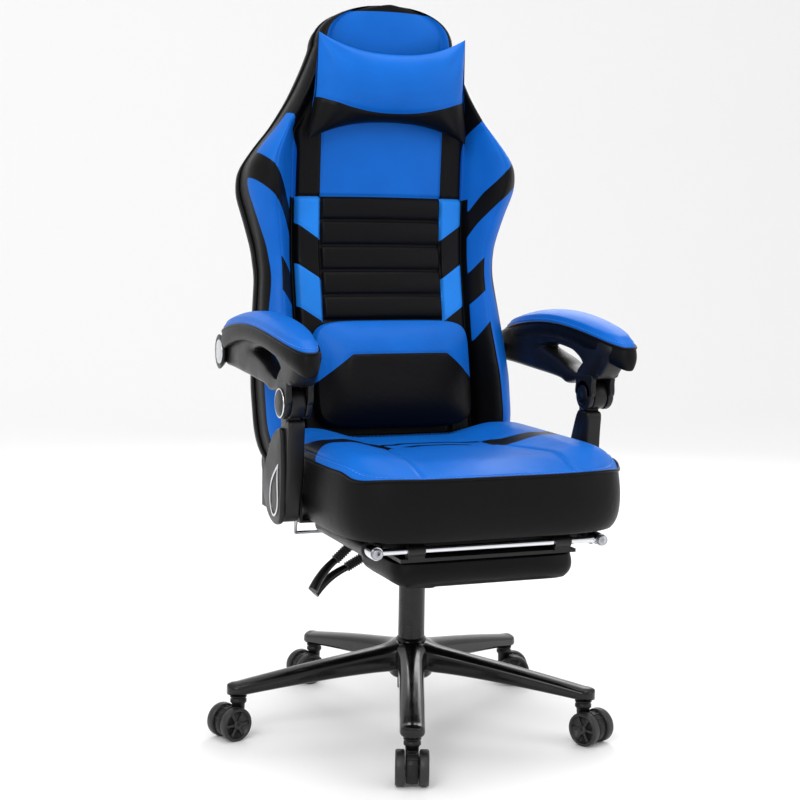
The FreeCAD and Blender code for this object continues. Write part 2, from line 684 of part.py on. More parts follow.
def back_slab(front, rear, inset=0.0, low=None):
    """The back's outline as a bowed slab between two depths, in the back's own axes."""
    half = back_outline(inset, low)
    crown = size("back_length") - inset
    points = [(across, up) for across, up in half] + [(0, crown)]
    points += [(-across, up) for across, up in reversed(half)]
    ahead = front - size("bow_depth") - 5
    curve = Part.BSplineCurve()
    curve.interpolate([Vector(across, ahead, up) for across, up in points])
    base = Part.LineSegment(Vector(*_at(points[-1], ahead)), Vector(*_at(points[0], ahead)))
    face = Part.Face(Part.Wire([curve.toShape(), base.toShape()]))
    return face.extrude(Vector(0, rear + 5 - ahead, 0)).common(bowed(front, rear))


def _at(point, depth):
    return point[0], depth, point[1]


def wing_prism():
    """The side bolsters' section, raised over the length of the back below the neck."""
    outer = size("shoulder_half_width") + 30
    inner = size("wing_inner")
    depth = size("wing_depth")
    low = size("lumbar_bottom") + 12
    high = 0.72 * size("back_length")
    start = size("bow_start")
    heights = (low, start, (start + high) / 2, high)
    solid = None
    for sign in (1, -1):
        corners = [(sign * inner, 1), (sign * (inner + 40), -depth * 0.8), (sign * (outer - 60), -depth),
                   (sign * outer, -depth * 0.6), (sign * outer, 1), (sign * inner, 1)]
        wires = [Part.makePolygon([Vector(across, deep - bow(up), up) for across, deep in corners])
                 for up in heights]
        wing = Part.makeLoft(wires, True, True)
        solid = wing if solid is None else solid.fuse(wing)
    return solid


def back():
    gap = size("layer_gap")
    pad = size("pad_thickness")
    tube = size("back_tube")
    slab = back_slab(0, pad)
    outline_forward = back_slab(-size("wing_depth") - 1, pad)
    cushion = slab.fuse(wing_prism().common(outline_forward))
    part(tilted(shaped("back_pad", cushion.removeSplitter())), "back_cushion")

    frame_front = pad + gap
    frame_rear = frame_front + tube
    half = size("back_tube_half_width")
    top_half = size("head_half_width") - 30
    low = size("back_skirt") + 5
    high = size("back_length") - 54
    bend = 0.62 * size("back_length")

    def ring(inset):
        corners = [(-half + inset, low + inset), (half - inset, low + inset), (half - inset, bend),
                   (top_half - inset, high - inset), (-top_half + inset, high - inset),
                   (-half + inset, bend), (-half + inset, low + inset)]
        ahead = frame_front - size("bow_depth") - 5
        wire = Part.makePolygon([Vector(across, ahead, up) for across, up in corners])
        return Part.Face(wire).extrude(Vector(0, frame_rear + 5 - ahead, 0))

    frame = ring(0).cut(ring(tube)).common(bowed(frame_front, frame_rear))
    rear_pivot = to_back(size("rear_pivot_y"), size("rear_pivot_z"))
    for share in (0.25, 0.5):
        span = Part.makeBox(2 * half - 2, 200, tube, Vector(-half + 1, -60, share * size("back_length")))
        frame = frame.fuse(span.common(bowed(frame_front + 4, frame_rear - 4)))
    reach = size("arm_outer") + 2
    pin = Part.makeCylinder(size("recline_pin_radius"), 2 * reach,
                            Vector(-reach, rear_pivot[0], rear_pivot[1]), Vector(1, 0, 0))
    gap_box = Part.makeBox(2 * half - 2 * tube, 200, 200,
                           Vector(-half + tube, rear_pivot[0] - 100, rear_pivot[1] - 100))
    frame = frame.fuse(pin.cut(gap_box))
    hinge = to_back(size("recline_y"), size("recline_z"))
    plate = size("recline_plate")
    boss = size("recline_boss_radius")
    for sign in (1, -1):
        inner = size("recline_plate_x") - plate - gap
        start = inner if sign == 1 else -inner - plate
        corner = Vector(start, frame_front + 1, min(hinge[1], low))
        ear = Part.makeBox(plate, hinge[0] + boss - frame_front - 4, low + 24 - min(hinge[1], low), corner)
        round_end = Part.makeCylinder(boss - 2, plate, Vector(start, hinge[0], hinge[1]), Vector(1, 0, 0))
        bore = Part.makeCylinder(size("recline_pin_radius") + size("running_fit"), plate + 2,
                                 Vector(start - 1, hinge[0], hinge[1]), Vector(1, 0, 0))
        reach_in = half - 3 if sign == 1 else start
        foot = Part.makeBox(inner + plate - half + 3, tube - 2, 20,
                            Vector(reach_in, frame_front + 1, low + 2))
        frame = frame.fuse(foot).fuse(ear).fuse(round_end).cut(bore)
    part(tilted(shaped("back_welded", frame)), "back_frame")

    cover_low = size("back_skirt") + 36
    cover = back_slab(frame_rear + gap, frame_rear + gap + size("cover_thickness"), 1.0, cover_low)
    part(tilted(shaped("back_shell", cover)), "back_cover")

    lumbar = lens_pad(size("lumbar_half_width"), size("lumbar_bottom"), size("lumbar_top"),
                      size("lumbar_depth"))
    part(tilted(shaped("lumbar", lumbar)), "lumbar_pillow")
    pillow = lens_pad(size("pillow_half_width"), size("pillow_bottom"), size("pillow_top"),
                      size("pillow_depth"))
    part(tilted(shaped("pillow", pillow)), "head_pillow")

    strap_face = frame_rear + 2 * gap + size("cover_thickness")
    straps = []
    for middle in ((size("lumbar_bottom") + size("lumbar_top")) / 2 + 15,
                   (size("pillow_bottom") + size("pillow_top")) / 2):
        length = 2 * (size("head_half_width") - 6)
        band = Part.makeBox(length, 3 * size("bow_depth"), size("strap_width"),
                            Vector(-length / 2, -2 * size("bow_depth"), middle))
        straps.append(band.common(bowed(strap_face, strap_face + size("strap_thickness"))))
    part(tilted(shaped("straps", Part.makeCompound(straps))), "pillow_straps")


def lens_pad(half, low, high, depth):
    """A pillow: a block with its front edges sloped back, just clear of the back's bowed face."""
    slope = depth * 0.35
    rear = -size("clearance")
    corners = [(rear, low), (-depth * 0.75, low + slope * 0.4), (-depth, (low + high) / 2),
               (-depth * 0.7, high - slope * 0.3), (rear, high), (rear, low)]
    tilt = (bow(high) - bow(low)) / (high - low)
    wire = Part.makePolygon([Vector(-half, deep - bow(low) - tilt * (up - low), up)
                             for deep, up in corners])
    return Part.Face(wire).extrude(Vector(2 * half, 0, 0))


def to_back(across, up):
    """A point of the chair's side view, as depth and height along the leaning back."""
    turn = math.radians(size("lean"))
    away = across - size("back_y")
    rise = up - size("back_z")
    return (away * math.cos(turn) - rise * math.sin(turn),
            away * math.sin(turn) + rise * math.cos(turn))


# ---------------------------------------------------------------- arms

def side_face(points, x):
    curve = Part.BSplineCurve()
    curve.interpolate([Vector(x, across, up) for across, up in points], PeriodicFlag=True)
    return Part.Face(Part.Wire(curve.toShape()))


def disc(radius, x0, x1, y, z):
    return Part.makeCylinder(radius, x1 - x0, Vector(x0, y, z), Vector(1, 0, 0))


def arms():
    """The left arm and its post; the right ones are its twins."""
    py, pz = size("front_pivot_y"), size("front_pivot_z")
    ry, rz = size("rear_pivot_y"), size("rear_pivot_z")
    inner, outer = size("arm_inner"), size("arm_outer")
    width = Vector(outer - inner, 0, 0)
    drum, boss = size("drum_radius"), size("rear_boss_radius")
    fit, clear = size("running_fit"), size("clearance")
    middle = size("arm_middle")
    barrel = size("barrel_half_width")

    body = side_face([
        (py - 92, pz + 88), (py - 86, pz + 76), (py - 68, pz + 52), (py - 42, pz + 24),
        (py - 22, pz + 6), (py + 20, pz + 4), (py + 118, pz + 22), (py + 224, rz - 25),
        (ry, rz - boss + 1), (ry + boss - 2, rz), (ry + 16, rz + 34), (ry - 60, rz + 50),
        (py + 180, rz + 64), (py + 60, rz + 66), (py - 30, pz + 112), (py - 82, pz + 99),
    ], inner).extrude(width)
    body = body.fuse(disc(drum, inner, outer, py, pz)).fuse(disc(boss, inner, outer, ry, rz))
    body = body.fuse(Part.makeCone(boss - 2, boss + size("rear_flare"), 8,
                                   Vector(outer - 4, ry, rz), Vector(1, 0, 0)))
    window = side_face([
        (py + 20, pz + 46), (py + 40, pz + 36), (py + 110, pz + 56), (py + 180, pz + 74),
        (py + 130, pz + 84), (py + 60, pz + 78),
    ], inner - 1).extrude(width + Vector(20, 0, 0))
    body = body.cut(window)
    body = body.cut(disc(drum + clear, middle - barrel - clear, middle + barrel + clear, py, pz))
    body = body.cut(disc(size("arm_pin_radius"), inner - 1, outer + 1, py, pz))
    body = body.cut(disc(size("recline_pin_radius") + fit, inner - 1, outer + 20, ry, rz))
    place_pair("arm_beam", body)

    pad = side_face([
        (py - 114, pz + 104), (py - 94, pz + 98), (py - 36, pz + 115), (py + 60, rz + 68),
        (py + 180, rz + 67), (ry - 50, rz + 55), (ry + 4, rz + 44), (ry + 12, rz + 52),
        (ry - 30, rz + 75), (py + 200, pz + 143), (py + 110, pz + 148), (py + 20, pz + 139),
        (py - 60, pz + 120), (py - 106, pz + 111),
    ], size("arm_pad_inner")).extrude(
        Vector(size("arm_pad_outer") - size("arm_pad_inner"), 0, 0))
    lifted = pad.copy()
    lifted.translate(Vector(0, 0, 1.5))
    pad = lifted.cut(body)
    solids = sorted(pad.Solids, key=lambda solid: solid.Volume)
    place_pair("arm_pad", solids[-1])

    pin_reach = outer - inner
    pin = disc(size("arm_pin_radius"), inner, inner + pin_reach, py, pz)
    cap_radius, cap = size("arm_cap_radius"), size("arm_cap_thickness")
    pin = pin.fuse(disc(cap_radius, outer, outer + cap, py, pz))
    pin = pin.fuse(disc(cap_radius - 6, inner - 1, inner, py, pz))
    rear_face = size("arm_outer") + 4
    rear_cap = disc(boss + size("rear_flare") - 3, rear_face, rear_face + 2, ry, rz)
    place_pair("arm_pivot_caps", Part.makeCompound([pin, rear_cap]))

    post_inner = middle - size("post_half_width")
    post_outer = middle + size("post_half_width")
    sy, sz = size("post_pivot_y"), size("post_pivot_z")
    shank = side_face([
        (py + 4, pz - 16), (py + 6, pz - 60), (py + 10, pz - 120), (sy - 38, sz), (sy - 28, sz - 24),
        (sy, sz - 33), (sy + 40, sz - 20), (sy + 70, sz + 14), (sy + 74, sz + 44),
        (sy + 54, sz + 86), (sy + 20, sz + 136), (py + 36, pz - 14),
    ], post_inner).extrude(Vector(post_outer - post_inner, 0, 0))
    shank = shank.cut(disc(drum + 1.5, post_inner - 1, post_outer + 1, py, pz))
    barrel_solid = disc(drum - 1, middle - barrel, middle + barrel, py, pz)
    neck = Part.makeBox(2 * barrel, 30, 36, Vector(middle - barrel, py + 6, pz - 40))
    post = shank.fuse(barrel_solid).fuse(neck)
    post = post.cut(disc(size("arm_pin_radius") + fit, inner, outer, py, pz))
    play = size("post_pin_radius") + size("post_pin_play")
    post = post.cut(disc(play, post_inner - 1, post_outer - 6, sy, sz))
    place_pair("arm_post", post)

    loop_points = [(py + 22, pz - 110), (sy - 26, sz + 30), (sy - 20, sz - 8), (sy - 2, sz - 18),
                   (sy + 18, sz - 4), (sy + 20, sz + 30), (sy - 4, sz + 62)]
    ring = side_face(loop_points, post_outer).extrude(Vector(1.5, 0, 0))
    inside = side_face([(sy + (across - sy) * 0.8, sz + 10 + (up - sz - 10) * 0.86)
                        for across, up in loop_points], post_outer - 1).extrude(Vector(4, 0, 0))
    place_pair("post_trim", ring.cut(inside))


def place_pair(node, shape):
    left = shaped(node, shape)
    part(left, node + "_left")
    part(mirrored(left, node + "_twin"), node + "_right")


# ---------------------------------------------------------------- build and write

BACK = Placement(Vector(0, size("back_y"), size("back_z")), Rotation(Vector(1, 0, 0), -size("lean")))

star_base()
caster_stems()
casters()
gas_lift()
mechanism()
levers()
recline_release()
seat()
footrest()
back()
arms()
doc.recompute()

for item in PARTS:
    if "Invalid" in item.State or "Error" in item.State:
        raise RuntimeError("%s did not build: %s" % (item.Label, item.State))
    if item.Shape.isNull() or not item.Shape.isValid() or not item.Shape.Solids:
        raise RuntimeError("%s has no valid solid" % item.Label)
    item.Shape.exportStep("parts/%s.step" % item.Label)
print("wrote %d sub-parts" % len(PARTS))
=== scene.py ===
import bpy
import json
import math
import mathutils
import numpy as np
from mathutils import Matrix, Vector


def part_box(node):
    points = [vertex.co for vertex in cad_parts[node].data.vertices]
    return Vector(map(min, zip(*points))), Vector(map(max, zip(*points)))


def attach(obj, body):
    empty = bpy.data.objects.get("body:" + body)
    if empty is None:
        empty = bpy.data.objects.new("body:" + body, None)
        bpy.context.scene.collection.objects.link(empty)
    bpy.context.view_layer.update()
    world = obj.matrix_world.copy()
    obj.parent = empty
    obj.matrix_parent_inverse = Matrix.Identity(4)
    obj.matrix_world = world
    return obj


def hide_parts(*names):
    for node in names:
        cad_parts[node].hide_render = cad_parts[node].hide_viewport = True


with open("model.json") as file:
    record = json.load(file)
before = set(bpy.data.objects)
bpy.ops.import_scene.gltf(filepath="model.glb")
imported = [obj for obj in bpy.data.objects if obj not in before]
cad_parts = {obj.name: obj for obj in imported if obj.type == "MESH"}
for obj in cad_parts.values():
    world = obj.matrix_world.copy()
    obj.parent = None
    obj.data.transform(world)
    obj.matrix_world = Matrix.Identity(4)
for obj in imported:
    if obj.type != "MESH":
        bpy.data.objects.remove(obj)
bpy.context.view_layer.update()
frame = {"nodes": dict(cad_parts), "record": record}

MM = 0.001
RECORD = frame["record"]
JOINTS = {joint["name"]: joint for joint in RECORD["behaviour"]["joints"]}
BODY_OF = {node: body for body, nodes in RECORD["behaviour"]["bodies"].items() for node in nodes}


# ------------------------------------------------------------------ working helpers

def pivot(joint):
    """Where a joint's axis is, in millimetres."""
    return np.array(JOINTS[joint]["pos_m"], float) / MM


def box(node_name):
    """A CAD node's lowest and highest corner, in millimetres."""
    return np.array([list(corner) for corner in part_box(node_name)]) / MM


def ease(low, high, value):
    """0 below low, 1 above high, and a smooth S between them."""
    share = np.clip((value - low) / (high - low), 0, 1)
    return share * share * (3 - 2 * share)


def ridge(value, centre, width):
    """A bell of height 1 at the centre, e to the minus square of the distance over the width."""
    return np.exp(-((value - centre) / width) ** 2)


def follow(value, places, heights):
    """A smooth curve through a few heights: straight runs between places, rounded by a blur."""
    fine = np.linspace(places[0], places[-1], 400)
    steps = np.interp(fine, places, heights)
    kernel = np.hanning(31)
    padded_steps = np.pad(steps, 15, mode="edge")
    return np.interp(value, fine, np.convolve(padded_steps, kernel / kernel.sum(), mode="valid"))


def grid_faces(rows, cols, wrap=False):
    """Four-sided faces of a grid, row by row; with wrap the last column joins the first."""
    row = np.arange(rows - 1)
    col = np.arange(cols if wrap else cols - 1)
    row, col = np.meshgrid(row, col, indexing="ij")
    beside = (col + 1) % cols
    corners = [row * cols + col, (row + 1) * cols + col, (row + 1) * cols + beside, row * cols + beside]
    return np.stack(corners, axis=-1).reshape(-1, 4).tolist()


def signed_volume(points, faces):
    """Six times the volume, as the sum of triple products of each face's fan of triangles."""
    groups = {}
    for face in faces:
        groups.setdefault(len(face), []).append(face)
    total = 0.0
    for count, group in groups.items():
        corners = points[np.array(group)]
        for step in range(1, count - 1):
            cross = np.cross(corners[:, step], corners[:, step + 1])
            total += np.einsum("ij,ij->", corners[:, 0], cross)
    return total


def outward(points, faces, **fields):
    """A closed shell with its faces turned outwards."""
    points = np.asarray(points, float)
    if signed_volume(points, faces) < 0:
        faces = [face[::-1] for face in faces]
    return {"points": points, "faces": faces, "fields": fields}


def rings(path_rings, **fields):
    """A closed skin over rings of points, each end closed by a fan onto its middle."""
    path_rings = np.asarray(path_rings, float)
    rows, cols = path_rings.shape[:2]
    points = np.concatenate([
        path_rings.reshape(-1, 3), path_rings[0].mean(axis=0)[None], path_rings[-1].mean(axis=0)[None]])
    faces = grid_faces(rows, cols, wrap=True)
    first, last = rows * cols, rows * cols + 1
    for step in range(cols):
        beside = (step + 1) % cols
        faces.append([first, step, beside])
        faces.append([last, (rows - 1) * cols + beside, (rows - 1) * cols + step])
    for name, values in fields.items():
        values = np.asarray(values, float)
        fields[name] = np.concatenate([values.ravel(), [values[0].mean()], [values[-1].mean()]])
    return outward(points, faces, **fields)


def turned(profile, centre, axis, around=48):
    """A profile of (radius, height) pairs turned about an axis: radius times cos and sin."""
    axis = np.asarray(axis, float) / np.linalg.norm(axis)
    side = np.cross(axis, [0.0, 0.0, 1.0] if abs(axis[2]) < 0.9 else [1.0, 0.0, 0.0])
    side /= np.linalg.norm(side)
    other = np.cross(axis, side)
    angle = np.linspace(0, 2 * math.pi, around, endpoint=False)
    wheel = np.cos(angle)[:, None] * side + np.sin(angle)[:, None] * other
    profile = np.asarray(profile, float)
    points = (np.asarray(centre, float) + profile[:, 1, None, None] * axis
              + profile[:, 0, None, None] * wheel[None])
    return rings(points)


def torus(centre, axis, radius, thickness, around=64, section=14):
    """A ring of round section: the section's circle carried round the big circle."""
    axis = np.asarray(axis, float) / np.linalg.norm(axis)
    side = np.cross(axis, [0.0, 0.0, 1.0] if abs(axis[2]) < 0.9 else [1.0, 0.0, 0.0])
    side /= np.linalg.norm(side)
    other = np.cross(axis, side)
    big = np.linspace(0, 2 * math.pi, around, endpoint=False)
    small = np.linspace(0, 2 * math.pi, section, endpoint=False)
    out = np.cos(big)[:, None] * side + np.sin(big)[:, None] * other
    points = (np.asarray(centre, float) + out[:, None] * (radius + thickness * np.cos(small))[None, :, None]
              + axis * (thickness * np.sin(small))[None, :, None])
    return closed_loop(points)


def closed_loop(points):
    """A skin over a grid that joins up along both its parameters."""
    rows, cols = points.shape[:2]
    looped = np.concatenate([points, points[:1]])
    faces = (np.array(grid_faces(rows + 1, cols, wrap=True)) % (rows * cols)).tolist()
    return outward(looped[:-1].reshape(-1, 3), faces)


def curve_through(knots, count):
    """Points evenly along a smooth curve through the knots, by Catmull and Rom's cubic."""
    knots = np.asarray(knots, float)
    ends = np.concatenate([[2 * knots[0] - knots[1]], knots, [2 * knots[-1] - knots[-2]]])
    spans = len(knots) - 1
    where = np.linspace(0, spans, 40 * spans + 1)
    span = np.minimum(where.astype(int), spans - 1)
    share = (where - span)[:, None]
    before, start, end, after = (ends[span + step] for step in range(4))
    points = 0.5 * (2 * start + (end - before) * share
                    + (2 * before - 5 * start + 4 * end - after) * share ** 2
                    + (3 * start - before - 3 * end + after) * share ** 3)
    length = np.concatenate([[0], np.cumsum(np.linalg.norm(np.diff(points, axis=0), axis=1))])
    even = np.linspace(0, length[-1], count)
    return np.stack([np.interp(even, length, points[:, axis]) for axis in range(3)], axis=-1)


def frames_along(path, up):
    """The two directions across a path: sideways, and the one nearest to up."""
    tangent = np.gradient(path, axis=0)
    tangent /= np.linalg.norm(tangent, axis=1)[:, None]
    side = np.cross(tangent, np.asarray(up, float))
    side /= np.linalg.norm(side, axis=1)[:, None]
    return side, np.cross(side, tangent), tangent


def superellipse(power, around):
    """A rounded square or ellipse of half size 1: cosine and sine, each to a power below 1."""
    angle = np.linspace(0, 2 * math.pi, around, endpoint=False)
    across, rise = np.cos(angle), np.sin(angle)
    return (np.sign(across) * np.abs(across) ** power, np.sign(rise) * np.abs(rise) ** power)


def bar(knots, widths, depths, up=(0, 0, 1), power=0.5, count=60, around=28, round_end=0.25):
    """A moulded bar: a rounded section carried along a curve, with its ends rounded over."""
    path = curve_through(knots, count)
    side, rise, tangent = frames_along(path, up)
    along = np.linspace(0, 1, count)
    wide = follow(along, np.linspace(0, 1, len(widths)), widths)
    deep = follow(along, np.linspace(0, 1, len(depths)), depths)
    across, height = superellipse(power, around)
    grid = (path[:, None] + side[:, None] * (wide / 2)[:, None, None] * across[None, :, None]
            + rise[:, None] * (deep / 2)[:, None, None] * height[None, :, None])
    start, end = [], []
    if round_end:
        turn = np.linspace(0, math.pi / 2, 6)[:-1]
        for angle in turn:
            shrink = math.sin(angle)
            start.append(path[0] + (grid[0] - path[0]) * max(shrink, 0.02)
                         + tangent[0] * min(wide[0], deep[0]) * round_end * math.cos(angle) * -1)
            end.append(path[-1] + (grid[-1] - path[-1]) * max(shrink, 0.02)
                       + tangent[-1] * min(wide[-1], deep[-1]) * round_end * math.cos(angle))
    grid = np.concatenate([np.array(start), grid, np.array(end[::-1])]) if round_end else grid
    return rings(grid)


def piece(name, shells, finish, body, replaces=(), levels=0, smooth=True):
    """One object from closed shells: its mesh, finish, the body it rides on and what it stands for."""
    mesh = bpy.data.meshes.new(name)
    start = 0
    points, faces = [], []
    names = sorted({field for one in shells for field in one["fields"]})
    fields = {field: [] for field in names}
    for one in shells:
        points.append(one["points"])
        faces += [[corner + start for corner in face] for face in one["faces"]]
        for field in names:
            blank = np.zeros(len(one["points"]))
            fields[field].append(one["fields"].get(field, blank))
        start += len(one["points"])
    mesh.from_pydata((np.concatenate(points) * MM).tolist(), [], faces)
    for field in names:
        layer = mesh.attributes.new(field, "FLOAT", "POINT")
        layer.data.foreach_set("value", np.concatenate(fields[field]).astype(np.float32))
    mesh.polygons.foreach_set("use_smooth", [smooth] * len(mesh.polygons))
    mesh.update()
    made = bpy.data.objects.new(name, mesh)
    bpy.context.scene.collection.objects.link(made)
    mesh.materials.append(finish)
    if levels:
        rounder = made.modifiers.new("round", "SUBSURF")
        rounder.levels = levels
        rounder.render_levels = levels
    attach(made, body)
    if replaces:
        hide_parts(*replaces)
    return made


def mirror(one):
    """The shell's twin across the chair's middle plane."""
    points = one["points"] * np.array([-1.0, 1.0, 1.0])
    return outward(points, one["faces"], **one["fields"])


# ------------------------------------------------------------------ finishes

def linear(colour):
    """An sRGB hex colour as linear red, green, blue and alpha."""
    parts = [int(colour[start:start + 2], 16) / 255 for start in (1, 3, 5)]
    return tuple(c / 12.92 if c <= 0.04045 else ((c + 0.055) / 1.055) ** 2.4 for c in parts) + (1.0,)


def node(tree, kind, inputs=None, **settings):
    """Adds one node, with its settings, and each input as a value or a link."""
    made = tree.nodes.new("ShaderNode" + kind)
    for name, value in settings.items():
        setattr(made, name, value)
    for name, value in (inputs or {}).items():
        if isinstance(value, bpy.types.NodeSocket):
            tree.links.new(value, made.inputs[name])
        else:
            made.inputs[name].default_value = value
    return made


def blank_finish(name):
    """A new material with its node tree emptied, to fill."""
    made = bpy.data.materials.new(name)
    made.use_nodes = True
    made.node_tree.nodes.clear()
    return made, made.node_tree


def finish_with(tree, shader):
    node(tree, "OutputMaterial", {"Surface": shader.outputs["BSDF"]})


def leatherette(name, base, second=None, third=None, roughness=0.4):
    """PU leatherette, embossed with a fine pebble grain and buffed: soft, satin highlights.

    The grain's cells are about 1.5 mm, drawn a little coarser than real so that they show.
    A piece's own values pick the colour: dark above zero takes the second colour, pale the third.
    """
    made, tree = blank_finish(name)
    place = node(tree, "TexCoord").outputs["Object"]
    cells = node(tree, "TexVoronoi", {"Vector": place, "Scale": 620.0, "Randomness": 0.9})
    pores = node(tree, "TexNoise", {"Vector": place, "Scale": 900.0, "Detail": 3.0})
    waves = node(tree, "TexNoise", {"Vector": place, "Scale": 16.0, "Detail": 3.0, "Roughness": 0.55})
    mottle = node(tree, "TexNoise", {"Vector": place, "Scale": 9.0, "Detail": 4.0})
    grain = node(tree, "Math", {0: cells.outputs["Distance"], 1: 0.8}, operation="MULTIPLY")
    grain = node(tree, "Math", {0: grain.outputs[0], 1: pores.outputs["Fac"]}, operation="ADD")
    colour = linear(base)
    for field, tint in (("pale", third), ("dark", second)):
        if not tint:
            continue
        value = node(tree, "Attribute", attribute_name=field).outputs["Fac"]
        edge = node(tree, "MapRange", {"Value": value, "From Min": -0.4, "From Max": 0.4})
        mixed = node(tree, "MixRGB", {"Fac": edge.outputs["Result"], "Color1": colour,
                                      "Color2": linear(tint)})
        colour = mixed.outputs[0]
    if not second:
        colour = colour[:3]
    shade = node(tree, "MapRange", {"Value": mottle.outputs["Fac"], "From Min": 0.3, "From Max": 0.7,
                                    "To Min": 0.9, "To Max": 1.06})
    colour = node(tree, "VectorMath", {0: colour, "Scale": shade.outputs["Result"]}, operation="SCALE")
    gloss = node(tree, "MapRange", {"Value": pores.outputs["Fac"], "From Min": 0.3, "From Max": 0.7,
                                    "To Min": roughness - 0.05, "To Max": roughness + 0.07})
    fine = node(tree, "Bump", {"Height": grain.outputs[0], "Strength": 0.22, "Distance": 0.0005})
    soft = node(tree, "Bump", {"Height": waves.outputs["Fac"], "Strength": 0.35, "Distance": 0.004,
                               "Normal": fine.outputs[0]})
    shader = node(tree, "BsdfPrincipled", {
        "Base Color": colour.outputs[0], "Roughness": gloss.outputs["Result"],
        "Normal": soft.outputs[0], "IOR": 1.42, "Specular IOR Level": 0.15})
    finish_with(tree, shader)
    return made


def gloss_paint(name, base, roughness=0.16, orange_peel=0.12):
    """Sprayed and baked enamel on steel: deep black, sharp highlights, a faint orange peel."""
    made, tree = blank_finish(name)
    place = node(tree, "TexCoord").outputs["Object"]
    peel = node(tree, "TexNoise", {"Vector": place, "Scale": 180.0, "Detail": 2.0})
    dust = node(tree, "TexNoise", {"Vector": place, "Scale": 40.0, "Detail": 6.0})
    gloss = node(tree, "MapRange", {"Value": dust.outputs["Fac"], "From Min": 0.35, "From Max": 0.75,
                                    "To Min": roughness, "To Max": roughness + 0.12})
    bump = node(tree, "Bump", {"Height": peel.outputs["Fac"], "Strength": orange_peel, "Distance": 0.0006})
    shader = node(tree, "BsdfPrincipled", {
        "Base Color": linear(base), "Roughness": gloss.outputs["Result"], "Normal": bump.outputs[0],
        "IOR": 1.5, "Specular IOR Level": 0.28, "Coat Weight": 0.1, "Coat Roughness": 0.06})
    finish_with(tree, shader)
    return made


def moulded_plastic(name, base, roughness, texture=0.25, scale=700.0):
    """Injection-moulded ABS or nylon with a spark-eroded texture about 1 mm across, satin."""
    made, tree = blank_finish(name)
    place = node(tree, "TexCoord").outputs["Object"]
    spark = node(tree, "TexNoise", {"Vector": place, "Scale": scale, "Detail": 2.0})
    smear = node(tree, "TexNoise", {"Vector": place, "Scale": 22.0, "Detail": 5.0})
    gloss = node(tree, "MapRange", {"Value": smear.outputs["Fac"], "From Min": 0.3, "From Max": 0.7,
                                    "To Min": roughness - 0.06, "To Max": roughness + 0.08})
    bump = node(tree, "Bump", {"Height": spark.outputs["Fac"], "Strength": texture, "Distance": 0.0004})
    shader = node(tree, "BsdfPrincipled", {
        "Base Color": linear(base), "Roughness": gloss.outputs["Result"], "Normal": bump.outputs[0],
        "IOR": 1.52, "Specular IOR Level": 0.25})
    finish_with(tree, shader)
    return made


def bright_metal(name, base, roughness, brushed=0.0):
    """Polished or turned metal: chrome plate on steel tube, or bright zinc, faintly scratched."""
    made, tree = blank_finish(name)
    place = node(tree, "TexCoord").outputs["Object"]
    scratch = node(tree, "TexNoise", {"Vector": place, "Scale": 320.0, "Detail": 5.0})
    gloss = node(tree, "MapRange", {"Value": scratch.outputs["Fac"], "From Min": 0.35, "From Max": 0.7,
                                    "To Min": roughness, "To Max": roughness + 0.08 + brushed})
    bump = node(tree, "Bump", {"Height": scratch.outputs["Fac"], "Strength": 0.04 + brushed,
                               "Distance": 0.0002})
    shader = node(tree, "BsdfPrincipled", {
        "Base Color": linear(base), "Metallic": 1.0, "Roughness": gloss.outputs["Result"],
        "Normal": bump.outputs[0]})
    finish_with(tree, shader)
    return made


def rubber(name, base, roughness=0.55):
    """Moulded rubber or soft polyurethane: dull, with a faint bloom in patches."""
    made, tree = blank_finish(name)
    place = node(tree, "TexCoord").outputs["Object"]
    bloom = node(tree, "TexNoise", {"Vector": place, "Scale": 60.0, "Detail": 6.0})
    shade = node(tree, "MapRange", {"Value": bloom.outputs["Fac"], "From Min": 0.3, "From Max": 0.75,
                                    "To Min": 0.8, "To Max": 1.5})
    colour = node(tree, "VectorMath", {0: linear(base)[:3], "Scale": shade.outputs["Result"]},
                  operation="SCALE")
    gloss = node(tree, "MapRange", {"Value": bloom.outputs["Fac"], "From Min": 0.3, "From Max": 0.7,
                                    "To Min": roughness - 0.08, "To Max": roughness + 0.08})
    bump = node(tree, "Bump", {"Height": bloom.outputs["Fac"], "Strength": 0.12, "Distance": 0.0005})
    shader = node(tree, "BsdfPrincipled", {
        "Base Color": colour.outputs[0], "Roughness": gloss.outputs["Result"], "Normal": bump.outputs[0],
        "IOR": 1.5})
    finish_with(tree, shader)
    return made


def birch_plywood(name):
    """Rotary-cut birch veneer, sanded and raw: pale, with wavy growth bands a few mm apart."""
    made, tree = blank_finish(name)
    place = node(tree, "TexCoord").outputs["Object"]
    bands = node(tree, "TexWave", {"Vector": place, "Scale": 28.0, "Distortion": 5.0, "Detail": 3.0})
    colour = node(tree, "MixRGB", {"Fac": bands.outputs["Fac"], "Color1": linear("#c9a878"),
                                   "Color2": linear("#a98352")})
    bump = node(tree, "Bump", {"Height": bands.outputs["Fac"], "Strength": 0.15, "Distance": 0.0004})
    shader = node(tree, "BsdfPrincipled", {"Base Color": colour.outputs[0], "Roughness": 0.62,
                                           "Normal": bump.outputs[0], "IOR": 1.5})
    finish_with(tree, shader)
    return made


